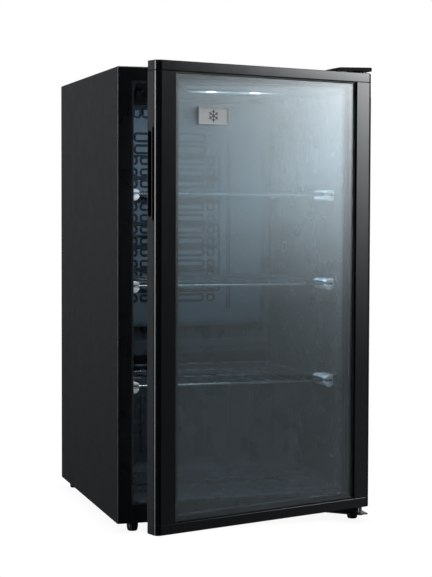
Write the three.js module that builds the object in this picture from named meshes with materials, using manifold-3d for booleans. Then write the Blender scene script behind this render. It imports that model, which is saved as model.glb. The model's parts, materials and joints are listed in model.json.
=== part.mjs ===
// Under-counter glass door merchandiser (beverage cooler), built from its separate pieces.
// Millimetres, +Z up, +X to the viewer's right, +Y from the door towards the back.
// Pieces are laid out from the middle of the cabinet's front face at floor level, and the
// finished group is moved so that its origin is the bottom centre of the whole object.
import * as THREE from 'three';
import { mergeVertices } from 'three/addons/utils/BufferGeometryUtils.js';
import Module from 'manifold-3d';

const wasm = await Module();
wasm.setup();

// ---- driving dimensions ----
const cabinetWidth = 475;
const cabinetDepth = 500;
const cabinetHeight = 825;
const footHeight = 18;
const skin = 1;
const panThickness = 1.5;
const flangeWidth = 25.4;
const gap = 0.3;
// how far a cutting solid runs past the face it opens
const past = 5;

const linerWall = 1.5;
const linerLip = 4.2;
const wallClearBack = 50;
const sillHeight = 33.5;
const sillDepth = 2.3;
const stepHeight = 217;
const stepDepth = 160;
const bayFoam = 38;
const backRecess = 3;

const doorThickness = 30;
const doorGap = 10;
const doorBottomRise = 12.5;
const doorTopDrop = 3;
const doorAjar = 17.1;
const hingeInset = 12;
const hingeFromDoorBack = 13.5;
const pinRadius = 4;
const pinClearance = 0.4;
const pinEngagement = 14;
const boreEndClear = 1;

const stileWidth = 38.5;
const topRailHeight = 17.5;
const bottomRailHeight = 18.5;
const cornerRadius = 10.5;
const lipDepth = 6;
const rebate = 6.5;
const glassThickness = 3.2;
const glassSpace = 10;
const spacerWidth = 15;
const spacerInset = 1.5;
const glassEdgeClear = 0.5;
const retainerOverlap = 15;
const gasketWidth = 19;
const gasketBottomWidth = 17;
const gasketInset = 10.5;
const gasketBottomInset = 5.5;
const gasketTopInset = 5;
const gasketClearance = 0.8;

const gripLength = 146;
const gripCentreDrop = 195;
const gripDepth = 14;
const gripWidth = 11;
const gripBackWall = 1.5;
const reliefExtra = 13;
const reliefDepth = 8.5;
const reliefWidth = 7;
const reliefSpacing = 2.5;

const shelfHeights = [597, 427, 241];
const shelfWire = 5;
const crossWire = 4;
const crossPitch = 36;
const shelfFront = 59.5;
const shelfBackClear = 25;
const shelfSideClear = 5;
const supportReach = 24.8;
const supportNose = 12.5;
const supportStart = 55;
const supportLength = 66;
const supportSetBack = 20;
const slotClearance = 0.5;
const noseRise = 6;
const noseDrop = 9;
const noseRound = 7;
const noseBulge = 1;
const noseSwell = 2;
const rootOverlap = 2;
const ledgeLength = 42;
const ledgeBackClear = 8;
const ledgeHeight = 6;

const evaporatorWidth = 366;
const evaporatorBottom = 320;
const evaporatorTopClear = 20;
const evaporatorScrewRise = 8;
const evaporatorScrewInset = 9;
const evaporatorStandOff = 10.5;
const evaporatorSheet = 1.5;
const gutterRise = 46;
const gutterFall = 9;
const gutterSideClear = 12;
const gutterWall = 2;
const gutterReach = 26;
const gutterBackHeight = 26;
const gutterLipHeight = 14;

const housingWidth = 85;
const housingDepth = 120;
const housingHeight = 34;
const housingFront = 60;
const knobRadius = 12;
const knobLength = 11;
const rockerWidth = 13;
const rockerHeight = 18;
const rockerTilt = 8;
const rockerDepth = 3;
const rockerInset = 22;
const rockerSideClear = 0.5;
const rockerEndClear = 1.5;
const wellDepth = 9;
const dialInset = 26;
const housingSideClear = 3;
const housingChamfer = 3;
const housingBackChamfer = 12;
const knobFlange = 2;

const lampLength = 190;
const lampWidth = 16;
const lampOffset = -7;
const lampFront = 22;

const compressorRadius = 60;
const compressorHeight = 128;
const compressorX = -75;
const grommetHeight = 12;
const coilPitch = 50;
const coilRadius = 2.6;
const coilBack = 14.5;
const tubeRadius = 3.2;

// ---- derived places ----
const halfWidth = cabinetWidth / 2;
const base = footHeight;
const cabinetTop = base + cabinetHeight;
const linerHalf = halfWidth - flangeWidth - gap - linerLip;
const floorZ = base + sillHeight + gap + linerLip;
const ceilingZ = cabinetTop - flangeWidth - gap - linerLip;
const linerBack = cabinetDepth - wallClearBack;
const stepFront = linerBack - stepDepth;
const stepTop = base + stepHeight;
const bayTop = stepTop - linerWall - bayFoam;
const bayFront = stepFront + linerWall + bayFoam;
const backFace = cabinetDepth - backRecess;

const doorBack = -doorGap;
const doorFront = -doorGap - doorThickness;
const doorBottom = base + doorBottomRise;
const doorTop = cabinetTop - doorTopDrop;
const openBottom = doorBottom + bottomRailHeight;
const openTop = doorTop - topRailHeight;
const openHalf = halfWidth - stileWidth;
const glassHalf = openHalf + rebate - glassEdgeClear;
const glassBottom = openBottom - rebate + glassEdgeClear;
const glassTop = openTop + rebate - glassEdgeClear;
const glassFront = doorFront + lipDepth + gap;
const innerGlassFront = glassFront + glassThickness + glassSpace;
const glassBack = innerGlassFront + glassThickness;
const hinge = new THREE.Vector2(halfWidth - hingeInset, doorBack - hingeFromDoorBack);

const leftFootInset = new THREE.Vector2(34, 25);
const rightFootInset = new THREE.Vector2(12.5, 12);
const rearFootInset = new THREE.Vector2(20.5, 30);
const leftFoot = new THREE.Vector2(-halfWidth + leftFootInset.x, leftFootInset.y);
const rightFoot = new THREE.Vector2(halfWidth - rightFootInset.x, rightFootInset.y);

// ---- finishes ----
const finish = (color, roughness, metalness) =>
  new THREE.MeshStandardMaterial({ color, roughness, metalness });
const blackSteel = finish(0x2a2d2f, 0.45, 0.3);
const galvanised = finish(0x8f9496, 0.45, 0.8);
const foamYellow = finish(0xd8c27a, 0.95, 0);
const linerPlastic = finish(0x1d2124, 0.5, 0);
const evaporatorPaint = finish(0x39434c, 0.4, 0.4);
const blackPlastic = finish(0x141618, 0.5, 0);
const satinBlack = finish(0x26282a, 0.35, 0.2);
const glass = finish(0xbcd0d4, 0.05, 0);
const spacerMetal = finish(0x2b3034, 0.4, 0.7);
const gasketRubber = finish(0x202325, 0.8, 0);
const chrome = finish(0xc8cdd0, 0.2, 1);
const whitePlastic = finish(0xe6e9ea, 0.5, 0);
const lampLens = finish(0xeaf4ff, 0.3, 0);
const zincSteel = finish(0xa6a9ab, 0.4, 0.9);
const copper = finish(0xb87350, 0.35, 0.9);
const compressorPaint = finish(0x17191a, 0.4, 0.2);
const rubber = finish(0x1b1b1b, 0.9, 0);

// ---- shape helpers ----
function box(x0, x1, y0, y1, z0, z1) {
  const geometry = new THREE.BoxGeometry(x1 - x0, y1 - y0, z1 - z0);
  return geometry.translate((x0 + x1) / 2, (y0 + y1) / 2, (z0 + z1) / 2);
}

function outline(points) {
  return new THREE.Shape(points.map(([a, b]) => new THREE.Vector2(a, b)));
}

function extruded(shape, length) {
  return new THREE.ExtrudeGeometry(shape, { depth: length, bevelEnabled: false, curveSegments: 5 });
}

// The shape's axes are X and Y.
function alongZ(shape, z0, z1) {
  return extruded(shape, z1 - z0).translate(0, 0, z0);
}

// The shape's axes are X and Z.
function alongY(shape, y0, y1) {
  return extruded(shape, y1 - y0).rotateX(Math.PI / 2).translate(0, y1, 0);
}

// The shape's axes are Y and Z.
function alongX(shape, x0, x1) {
  const turn = new THREE.Matrix4().makeBasis(
    new THREE.Vector3(0, 1, 0),
    new THREE.Vector3(0, 0, 1),
    new THREE.Vector3(1, 0, 0),
  );
  return extruded(shape, x1 - x0).applyMatrix4(turn).translate(x0, 0, 0);
}

function frameShape(outerX, outerZ, innerX, innerZ) {
  const [zo0, zo1] = outerZ;
  const [zi0, zi1] = innerZ;
  const shape = outline([[-outerX, zo0], [outerX, zo0], [outerX, zo1], [-outerX, zo1]]);
  shape.holes.push(outline([[-innerX, zi0], [-innerX, zi1], [innerX, zi1], [innerX, zi0]]));
  return shape;
}

// A turned piece about the Z axis; the profile is [radius, height] pairs from bottom to top.
function turned(profile, sides) {
  const points = profile.map(([r, z]) => new THREE.Vector2(r, z));
  return new THREE.LatheGeometry(points, sides).rotateX(Math.PI / 2);
}

function rod(x, y, z0, z1, radius, sides = 20) {
  return turned([[0, 0], [radius, 0], [radius, z1 - z0], [0, z1 - z0]], sides).translate(x, y, z0);
}

function toSolid(geometry) {
  const bare = geometry.clone();
  bare.deleteAttribute('normal');
  bare.deleteAttribute('uv');
  const merged = mergeVertices(bare, 1e-4);
  const mesh = new wasm.Mesh({
    numProp: 3,
    vertProperties: new Float32Array(merged.attributes.position.array),
    triVerts: new Uint32Array(merged.index.array),
  });
  mesh.merge();
  return new wasm.Manifold(mesh);
}

function fromSolid(solid) {
  const mesh = solid.getMesh();
  const geometry = new THREE.BufferGeometry();
  geometry.setAttribute('position', new THREE.BufferAttribute(new Float32Array(mesh.vertProperties), 3));
  geometry.setIndex(new THREE.BufferAttribute(new Uint32Array(mesh.triVerts), 1));
  geometry.computeVertexNormals();
  return geometry;
}

function cut(geometry, ...tools) {
  return fromSolid(tools.reduce((solid, tool) => solid.subtract(toSolid(tool)), toSolid(geometry)));
}

function join(geometry, ...others) {
  return fromSolid(others.reduce((solid, other) => solid.add(toSolid(other)), toSolid(geometry)));
}

// A tube route: straight runs between corner points, each corner rounded by a few points.
class Route extends THREE.Curve {
  constructor(corners, bendRadius, bendSteps) {
    super();
    this.stops = Route.rounded(corners, bendRadius, bendSteps);
  }

  static rounded(corners, bendRadius, bendSteps) {
    const stops = [corners[0]];
    for (let i = 1; i < corners.length - 1; i += 1) {
      const before = corners[i - 1].clone().sub(corners[i]).normalize();
      const after = corners[i + 1].clone().sub(corners[i]).normalize();
      const reach = bendRadius / Math.tan(before.angleTo(after) / 2);
      const start = corners[i].clone().addScaledVector(before, reach);
      const end = corners[i].clone().addScaledVector(after, reach);
      const bend = new THREE.QuadraticBezierCurve3(start, corners[i], end);
      stops.push(...bend.getPoints(bendSteps));
    }
    stops.push(corners[corners.length - 1]);
    return stops;
  }

  get steps() {
    return this.stops.length - 1;
  }

  getUtoTmapping(u) {
    return u;
  }

  getPoint(t) {
    const place = Math.min(t, 1) * this.steps;
    const i = Math.min(Math.floor(place + 1e-9), this.steps - 1);
    return this.stops[i].clone().lerp(this.stops[i + 1], place - i);
  }

  getTangent(t) {
    const i = Math.round(t * this.steps);
    const behind = this.stops[Math.max(i - 1, 0)];
    const here = this.stops[i];
    const ahead = this.stops[Math.min(i + 1, this.steps)];
    const arriving = here.clone().sub(behind).normalize();
    const leaving = ahead.clone().sub(here).normalize();
    return arriving.add(leaving).normalize();
  }
}

function tube(corners, radius, bendRadius, sides = 8, bendSteps = 3) {
  const route = new Route(corners, bendRadius, bendSteps);
  const section = new THREE.Shape();
  for (let i = 0; i < sides; i += 1) {
    const angle = (i * 2 * Math.PI) / sides;
    const x = radius * Math.cos(angle);
    const y = radius * Math.sin(angle);
    if (i === 0) section.moveTo(x, y);
    else section.lineTo(x, y);
  }
  return new THREE.ExtrudeGeometry(section, {
    steps: route.steps,
    extrudePath: route,
    bevelEnabled: false,
  });
}

const at = (x, y, z) => new THREE.Vector3(x, y, z);

const merchandiser = new THREE.Group();
const door = new THREE.Group();
door.position.set(hinge.x, hinge.y, 0);
door.rotation.z = THREE.MathUtils.degToRad(doorAjar);
merchandiser.add(door);

function add(name, geometry, material, parent = merchandiser) {
  const mesh = new THREE.Mesh(geometry, material);
  mesh.name = name;
  if (parent === door) mesh.position.set(-hinge.x, -hinge.y, 0);
  parent.add(mesh);
}

// ---- hinge hardware places, shared by the brackets and everything they pass through ----
const bracketBack = 60;
const bracketFrontInset = 4;
const bracketWidth = 72;
const bracketEdge = 1;
const bracketNeck = 14;
const bracketNeckY = 4;
const bracketThickness = 2.5;
const screwInsets = [[55, 22], [30, 44]];
const bracketFront = doorFront + bracketFrontInset;
const bracketLeft = halfWidth - bracketWidth;
const screwPlaces = screwInsets.map(([inset, y]) => [halfWidth - inset, y]);
const screwRadius = 2;
const screwHole = screwRadius + pinClearance;
const screwLength = 9;
const screwHeadRadius = 4.4;
const screwHeadHeight = 2;
const pinHeadRadius = 6.5;
const pinHeadHeight = 2;
const stemRadius = 4;
const stemRise = 14;
const stemTop = base + stemRise;
const screwMargin = 10;
const stemMargin = 8;
const pocketHeadroom = 4;

// ---- cabinet ----
function outerShell() {
  const z0 = base;
  const z1 = cabinetTop;
  const wrap = outline([
    [-halfWidth, z0], [-halfWidth + skin, z0], [-halfWidth + skin, z1 - skin],
    [halfWidth - skin, z1 - skin], [halfWidth - skin, z0], [halfWidth, z0],
    [halfWidth, z1], [-halfWidth, z1],
  ]);
  const inner = halfWidth - flangeWidth;
  const face = outline([
    [-halfWidth, z0], [-inner, z0], [-inner, z1 - flangeWidth],
    [inner, z1 - flangeWidth], [inner, z0], [halfWidth, z0],
    [halfWidth, z1], [-halfWidth, z1],
  ]);
  const holes = screwPlaces.map(([x, y]) => rod(x, y, z1 - past, z1 + past, screwHole, 12));
  return cut(join(alongY(wrap, 0, cabinetDepth), alongY(face, 0, skin)), ...holes);
}

// One folded sheet: down the back, over the compressor and down its front.
function backPanel() {
  const x = halfWidth - skin - gap;
  const y0 = bayFront;
  const y1 = backFace;
  const top = cabinetTop - skin - gap;
  const foot = base + panThickness + gap;
  const fold = outline([
    [y1 - skin, top], [y1 - skin, bayTop + skin], [y0 - skin, bayTop + skin], [y0 - skin, foot],
    [y0, foot], [y0, bayTop], [y1, bayTop], [y1, top],
  ]);
  return alongX(fold, -x, x);
}

function basePan() {
  const x = halfWidth - skin - gap;
  const sillX = halfWidth - flangeWidth - gap;
  const plate = box(-x, x, skin + gap, backFace, base, base + panThickness);
  const sill = box(-sillX, sillX, 0, sillDepth, base, base + sillHeight);
  const floorHole = (x0, y0, radius) => rod(x0, y0, base - past, base + past, radius, 16);
  return cut(
    join(plate, sill),
    floorHole(leftFoot.x, leftFoot.y, stemRadius + pinClearance),
    floorHole(rightFoot.x, rightFoot.y, stemRadius + pinClearance),
    ...screwPlaces.map(([sx, sy]) => floorHole(sx, sy, screwHole)),
  );
}

// Side outline of the liner's hollow, moved out by a wall thickness where one is given.
function linerOutline(front, wall) {
  return outline([
    [front, floorZ - wall], [stepFront + wall, floorZ - wall], [stepFront + wall, stepTop - wall],
    [linerBack + wall, stepTop - wall], [linerBack + wall, ceilingZ + wall], [front, ceilingZ + wall],
  ]);
}

const shelfZ = shelfHeights.map((rise) => base + rise);
const shelfHalf = linerHalf - shelfSideClear;
const shelfBack = linerBack - shelfBackClear;
const ledgeReach = shelfSideClear + shelfWire;

function innerLiner() {
  const x = linerHalf + linerWall;
  const shell = cut(
    alongX(linerOutline(0, linerWall), -x, x),
    alongX(linerOutline(-past, 0), -linerHalf, linerHalf),
  );
  const lip = alongY(
    frameShape(
      linerHalf + linerLip, [floorZ - linerLip, ceilingZ + linerLip],
      linerHalf, [floorZ, ceilingZ],
    ), 0, linerWall,
  );
  const ledges = [];
  const ledgeBack = shelfBack - ledgeBackClear;
  for (const z of shelfZ) {
    const top = z - shelfWire / 2 - slotClearance;
    for (const side of [-1, 1]) {
      const [a, b] = [side * (linerHalf - ledgeReach), side * (linerHalf + linerWall / 2)];
      const [x0, x1] = [Math.min(a, b), Math.max(a, b)];
      ledges.push(box(x0, x1, ledgeBack - ledgeLength, ledgeBack, top - ledgeHeight, top));
    }
  }
  return join(shell, lip, ...ledges);
}

function foamInsulation() {
  const x = halfWidth - skin - gap;
  const y0 = linerWall + gap;
  const floor = base + panThickness + gap;
  const top = cabinetTop - skin - gap;
  const sillBack = sillDepth + gap;
  const body = outline([
    [y0, base + sillHeight], [sillBack, base + sillHeight], [sillBack, floor],
    [bayFront - skin - gap, floor], [bayFront - skin - gap, bayTop + skin + gap],
    [backFace - skin - gap, bayTop + skin + gap], [backFace - skin - gap, top], [y0, top],
  ]);
  const hollow = linerHalf + linerWall + gap;
  const [[firstX, firstY], [lastX]] = screwPlaces;
  const pocketTop = stemTop + pocketHeadroom;
  const lowPocket = box(
    firstX - screwMargin, rightFoot.x + stemMargin, skin, bracketBack, floor - past, pocketTop,
  );
  const leftPocket = box(
    leftFoot.x - stemMargin, leftFoot.x + stemMargin,
    leftFoot.y - stemMargin, leftFoot.y + stemMargin, floor - past, pocketTop,
  );
  const topPocket = box(
    firstX - screwMargin, lastX + screwMargin, firstY - screwMargin, bracketBack,
    top - screwLength - pocketHeadroom, top + past,
  );
  return cut(
    alongX(body, -x, x),
    alongX(linerOutline(-past, linerWall + gap), -hollow, hollow),
    lowPocket, leftPocket, topPocket,
  );
}

add('outer_shell', outerShell(), blackSteel);
add('back_panel', backPanel(), galvanised);
add('base_pan', basePan(), blackSteel);
add('inner_liner', innerLiner(), linerPlastic);
add('foam_insulation', foamInsulation(), foamYellow);

// ---- cold side ----
const evaporatorFace = linerBack - evaporatorStandOff - evaporatorSheet;
const evaporatorScrewZ = base + evaporatorBottom + evaporatorScrewRise;
const evaporatorScrewX = evaporatorWidth / 2 - evaporatorScrewInset;
const evaporatorScrewRadius = 1.8;
const panHeadRadius = 4.5;
const panHeadHeight = 3.4;

function evaporatorPlate() {
  const half = evaporatorWidth / 2;
  const z0 = base + evaporatorBottom;
  const z1 = ceilingZ - evaporatorTopClear;
  const sheet = outline([[-half, z0], [half, z0], [half, z1], [-half, z1]]);
  for (const side of [-1, 1]) {
    const hole = new THREE.Path();
    const radius = evaporatorScrewRadius + pinClearance;
    hole.absarc(side * evaporatorScrewX, evaporatorScrewZ, radius, 0, 2 * Math.PI, true);
    sheet.holes.push(hole);
  }
  return alongY(sheet, evaporatorFace, evaporatorFace + evaporatorSheet);
}

function evaporatorScrew(side) {
  const shank = evaporatorStandOff + evaporatorSheet - gap;
  const profile = [
    [0, 0], [evaporatorScrewRadius, 0], [evaporatorScrewRadius, shank + gap],
    [panHeadRadius, shank + gap], [panHeadRadius - 0.3, shank + 2], [2, shank + panHeadHeight - 0.2],
    [0, shank + panHeadHeight],
  ];
  return turned(profile, 14)
    .rotateX(Math.PI / 2)
    .translate(side * evaporatorScrewX, linerBack - gap, evaporatorScrewZ);
}

// Sloping trough that leads melt water to the left end.
function dripGutter() {
  const half = linerHalf - gutterSideClear;
  const back = linerBack - gap;
  const front = back - gutterReach;
  const trough = outline([
    [back, 0], [back, gutterBackHeight], [back - gutterWall, gutterBackHeight],
    [back - gutterWall, gutterWall], [front + gutterWall, gutterWall],
    [front, gutterLipHeight], [front - gutterWall, gutterLipHeight], [front, 0],
  ]);
  const fall = Math.atan2(gutterFall, 2 * half);
  return alongX(trough, -half, half)
    .rotateY(-fall)
    .translate(0, 0, stepTop + gutterRise);
}

add('evaporator_plate', evaporatorPlate(), evaporatorPaint);
add('evaporator_screw_left', evaporatorScrew(-1), zincSteel);
add('evaporator_screw_right', evaporatorScrew(1), zincSteel);
add('drip_gutter', dripGutter(), linerPlastic);

// ---- thermostat and light ----
const housingLeft = -linerHalf + housingSideClear;
const housingTop = ceilingZ - gap;
const housingBottom = housingTop - housingHeight;
const dialX = housingLeft + housingWidth - dialInset;
const dialZ = (housingTop + housingBottom) / 2;
const rockerX = housingLeft + rockerInset;

function controlHousing() {
  const back = housingFront + housingDepth;
  const side = outline([
    [housingFront, housingBottom + housingChamfer], [housingFront + housingChamfer, housingBottom],
    [back - housingBackChamfer, housingBottom], [back, housingBottom + housingBackChamfer],
    [back, housingTop], [housingFront, housingTop],
  ]);
  const well = box(
    rockerX - rockerWidth / 2 - rockerSideClear, rockerX + rockerWidth / 2 + rockerSideClear,
    housingFront - past, housingFront + wellDepth,
    dialZ - rockerHeight / 2 - rockerEndClear, dialZ + rockerHeight / 2 + rockerEndClear,
  );
  return cut(alongX(side, housingLeft, housingLeft + housingWidth), well);
}

function thermostatKnob() {
  const grip = turned([
    [0, 0], [knobRadius + knobFlange, 0], [knobRadius + knobFlange, 2.5], [knobRadius, 3.5],
    [knobRadius - 1, knobLength - 1], [knobRadius - 2, knobLength], [0, knobLength],
  ], 28);
  const notch = box(-1.2, 1.2, 3, knobRadius + 4, knobLength - 3, knobLength + 2);
  return cut(grip, notch)
    .rotateX(Math.PI / 2)
    .translate(dialX, housingFront - gap, dialZ);
}

// The rocker is drawn level and then tilted to its switched-on side.
function lightSwitch() {
  const high = rockerHeight / 2;
  const side = outline([
    [-4.5, high], [-2.5, 0], [-4.5, -high], [0, -high], [rockerDepth, -high + 3],
    [rockerDepth, high - 3], [0, high],
  ].reverse());
  return alongX(side, -rockerWidth / 2, rockerWidth / 2)
    .rotateX(THREE.MathUtils.degToRad(rockerTilt))
    .translate(rockerX, housingFront + 1, dialZ);
}

add('control_housing', controlHousing(), blackPlastic);
add('thermostat_knob', thermostatKnob(), blackPlastic);
add('light_switch', lightSwitch(), blackPlastic);

const lampTop = ceilingZ - gap;
const lampBaseHeight = 6;
const lensHeight = 5;
const lensEndClear = 3;

function lampBase() {
  return box(
    lampOffset - lampLength / 2, lampOffset + lampLength / 2,
    lampFront, lampFront + lampWidth, lampTop - lampBaseHeight, lampTop,
  );
}

function lampCover() {
  const half = lampWidth / 2;
  const arch = new THREE.Shape();
  arch.moveTo(half, 0);
  arch.absellipse(0, 0, half, lensHeight, 0, -Math.PI, true);
  return alongX(arch, lampOffset - lampLength / 2 + lensEndClear, lampOffset + lampLength / 2 - lensEndClear)
    .translate(0, lampFront + half, lampTop - lampBaseHeight - gap);
}

add('led_base', lampBase(), whitePlastic);
add('led_lens', lampCover(), lampLens);

// ---- shelves and their supports ----
function wireShelf(z) {
  const y0 = shelfFront;
  const y1 = shelfBack;
  const half = shelfHalf;
  const deck = box(-half, half, y0, y1, z - shelfWire / 2, z + shelfWire / 2);
  const bars = Math.floor((half - shelfWire) / crossPitch);
  const edges = [-half + shelfWire / 2];
  for (let i = -bars; i <= bars; i += 1) edges.push(i * crossPitch);
  edges.push(half - shelfWire / 2);
  const spaces = [];
  for (let i = 0; i < edges.length - 1; i += 1) {
    const left = edges[i] + (i === 0 ? shelfWire : crossWire) / 2;
    const right = edges[i + 1] - (i === edges.length - 2 ? shelfWire : crossWire) / 2;
    spaces.push(box(left, right, y0 + shelfWire, y1 - shelfWire, z - shelfWire, z + shelfWire));
  }
  return cut(deck, ...spaces);
}

// Half-round nose that stands off the side wall on a set-back root, both slotted for the shelf's
// side wire.
function shelfSupport(side, z) {
  const wall = linerHalf - gap;
  const tip = wall - supportReach;
  const slot = shelfWire / 2 + slotClearance;
  const slotEnd = shelfHalf + slotClearance;
  const top = z + slot + noseRise;
  const foot = z - slot - noseDrop;
  const nose = new THREE.Shape();
  nose.moveTo(side * (tip + supportNose), top);
  nose.lineTo(side * (tip + noseRound), top);
  nose.quadraticCurveTo(side * (tip + noseBulge), top - noseBulge, side * tip, z + slot);
  nose.lineTo(side * tip, z - slot);
  nose.quadraticCurveTo(side * (tip + noseBulge), foot + noseSwell, side * (tip + noseRound), foot);
  nose.lineTo(side * (tip + supportNose), foot);
  const rootTip = tip + supportNose - rootOverlap;
  const root = outline([
    [side * rootTip, foot], [side * wall, foot], [side * wall, top], [side * rootTip, top],
  ]);
  const end = supportStart + supportLength;
  const slotBox = box(
    Math.min(side * (tip - past), side * slotEnd), Math.max(side * (tip - past), side * slotEnd),
    supportStart - past, end + past, z - slot, z + slot,
  );
  const whole = join(
    alongY(nose, supportStart, end),
    alongY(root, supportStart + supportSetBack, end),
  );
  return cut(whole, slotBox);
}

shelfZ.forEach((z, i) => {
  add(`wire_shelf_${i + 1}`, wireShelf(z), chrome);
  add(`shelf_support_left_${i + 1}`, shelfSupport(-1, z), whitePlastic);
  add(`shelf_support_right_${i + 1}`, shelfSupport(1, z), whitePlastic);
});

// ---- hinges and feet ----
function hingeBracket(z0, extraHoles) {
  const z1 = z0 + bracketThickness;
  const plate = outline([
    [bracketLeft, bracketBack], [bracketLeft, bracketNeckY], [hinge.x - bracketNeck, bracketFront],
    [halfWidth - bracketEdge, bracketFront], [halfWidth - bracketEdge, bracketBack],
  ]);
  const holes = screwPlaces.map(([x, y]) => rod(x, y, z0 - past, z1 + past, screwHole, 12));
  const pinHole = rod(hinge.x, hinge.y, z0 - past, z1 + past, pinRadius + pinClearance);
  return cut(alongZ(plate, z0, z1), pinHole, ...holes, ...extraHoles);
}

// A headed pin drawn standing on its head; a negative direction hangs it from the head.
function hingePin(headZ, direction) {
  const shaft = bracketThickness + 2 * gap + pinEngagement
    + (direction < 0 ? doorTopDrop : doorBottomRise);
  const geometry = turned([
    [0, 0], [pinHeadRadius, 0], [pinHeadRadius, pinHeadHeight], [pinRadius, pinHeadHeight],
    [pinRadius, pinHeadHeight + shaft], [0, pinHeadHeight + shaft],
  ], 20);
  if (direction < 0) geometry.rotateX(Math.PI);
  return geometry.translate(hinge.x, hinge.y, headZ);
}

function bracketScrew(x, y, headZ, direction) {
  const geometry = turned([
    [0, 0], [screwHeadRadius - 1.4, 0], [screwHeadRadius, screwHeadHeight - 0.8],
    [screwHeadRadius, screwHeadHeight], [screwRadius, screwHeadHeight],
    [screwRadius, screwHeadHeight + screwLength], [0, screwHeadHeight + screwLength],
  ], 12);
  if (direction < 0) geometry.rotateX(Math.PI);
  return geometry.translate(x, y, headZ);
}

const topBracketZ = cabinetTop + gap;
const bottomBracketZ = base - gap - bracketThickness;
const rightStemHole = rod(
  rightFoot.x, rightFoot.y, bottomBracketZ - past, base + past, stemRadius + pinClearance,
);
const coverHeight = 7.2;
const coverWall = 1;
const coverSideWall = 0.5;
const coverOverhang = 5;
const coverNose = 3.6;
const coverSlope = 15;
const coverFall = 0.8;
const coverBevel = 0.6;
const coverEnds = 2;

function hingeCover() {
  const left = bracketLeft - coverOverhang;
  const right = halfWidth;
  const z0 = cabinetTop + gap;
  const z1 = z0 + coverHeight;
  const outer = outline([
    [left, z0], [right, z0], [right, z1 - coverBevel], [right - coverEnds, z1],
    [left + coverSlope, z1 - coverFall], [left, z0 + coverNose],
  ]);
  const hollowRight = right - coverSideWall;
  const inner = outline([
    [left + coverWall, z0 - past], [hollowRight, z0 - past], [hollowRight, z1 - coverWall - coverBevel],
    [left + coverSlope, z1 - coverWall - coverFall], [left + coverWall, z0 + coverNose - coverWall],
  ]);
  const y0 = bracketFront - coverEnds;
  const y1 = bracketBack + coverEnds;
  return cut(alongY(outer, y0, y1), alongY(inner, y0 + coverWall, y1 - coverWall));
}

add('top_hinge_bracket', hingeBracket(topBracketZ, []), zincSteel);
add('top_hinge_pin', hingePin(topBracketZ + bracketThickness + gap + pinHeadHeight, -1), zincSteel);
add('bottom_hinge_bracket', hingeBracket(bottomBracketZ, [rightStemHole]), zincSteel);
add('bottom_hinge_pin', hingePin(bottomBracketZ - gap - pinHeadHeight, 1), zincSteel);
screwPlaces.forEach(([x, y], i) => {
  const topHead = topBracketZ + bracketThickness + gap + screwHeadHeight;
  add(`top_hinge_screw_${i + 1}`, bracketScrew(x, y, topHead, -1), zincSteel);
  const bottomHead = bottomBracketZ - gap - screwHeadHeight;
  add(`bottom_hinge_screw_${i + 1}`, bracketScrew(x, y, bottomHead, 1), zincSteel);
});
add('hinge_cover', hingeCover(), blackPlastic);

function levelingFoot(place) {
  const shoulder = bottomBracketZ - gap;
  return turned([
    [0, 0], [8, 0], [9, 1.5], [10.5, shoulder - 1.5], [9.5, shoulder], [stemRadius, shoulder],
    [stemRadius, stemTop], [0, stemTop],
  ], 24).translate(place.x, place.y, 0);
}

function rearFoot(side) {
  return turned([[0, 0], [8, 0], [9, 1.5], [10, base - gap], [0, base - gap]], 20)
    .translate(side * (halfWidth - rearFootInset.x), cabinetDepth - rearFootInset.y, 0);
}

add('leveling_foot_left', levelingFoot(leftFoot), blackPlastic);
add('leveling_foot_right', levelingFoot(rightFoot), blackPlastic);
add('rear_foot_left', rearFoot(-1), blackPlastic);
add('rear_foot_right', rearFoot(1), blackPlastic);

// ---- door ----
// Plan outline of the right half of a door member from an inner edge to the rounded corner.
function memberOutline(side, points) {
  const shape = new THREE.Shape();
  const x = halfWidth;
  const centre = x - cornerRadius;
  shape.moveTo(side * points[0][0], points[0][1]);
  points.slice(1).forEach(([a, b]) => shape.lineTo(side * a, b));
  shape.lineTo(side * centre, doorFront);
  const arcSteps = 6;
  for (let i = 1; i <= arcSteps; i += 1) {
    const angle = (i / arcSteps) * (Math.PI / 2);
    const ax = centre + cornerRadius * Math.sin(angle);
    const ay = doorFront + cornerRadius * (1 - Math.cos(angle));
    shape.lineTo(side * ax, ay);
  }
  shape.lineTo(side * x, doorBack);
  return shape;
}

function doorStile(side) {
  const groove = openHalf + rebate;
  const section = memberOutline(side, [
    [groove, doorBack], [groove, doorFront + lipDepth], [openHalf, doorFront + lipDepth],
    [openHalf, doorFront],
  ]);
  const outer = halfWidth + past;
  const pocket = (y0, y1, depth, length) => {
    const [a, b] = [side * outer, side * (halfWidth - depth)];
    const middle = cabinetTop - gripCentreDrop;
    return box(Math.min(a, b), Math.max(a, b), y0, y1, middle - length / 2, middle + length / 2);
  };
  const gripBack = doorBack - gripBackWall;
  const gripFront = gripBack - gripWidth;
  const reliefBack = gripFront - reliefSpacing;
  return cut(
    alongZ(section, openBottom + gap, openTop - gap),
    pocket(gripFront, gripBack, gripDepth, gripLength),
    pocket(reliefBack - reliefWidth, reliefBack, reliefDepth, gripLength + reliefExtra),
  );
}

function doorRail(z0, z1, glassEdge, boreFrom, boreTo) {
  const plan = memberOutline(1, [[0, doorBack], [0, doorFront]]);
  const otherPlan = memberOutline(-1, [[0, doorBack], [0, doorFront]]);
  const whole = join(alongZ(plan, z0, z1), alongZ(otherPlan, z0, z1));
  const groove = openHalf + rebate;
  const [g0, g1] = glassEdge;
  const glassRoom = box(-groove, groove, doorFront + lipDepth, doorBack + past, g0, g1);
  return cut(whole, glassRoom, rod(hinge.x, hinge.y, boreFrom, boreTo, pinRadius + pinClearance));
}

function pane(y0) {
  return box(-glassHalf, glassHalf, y0, y0 + glassThickness, glassBottom, glassTop);
}

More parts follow.
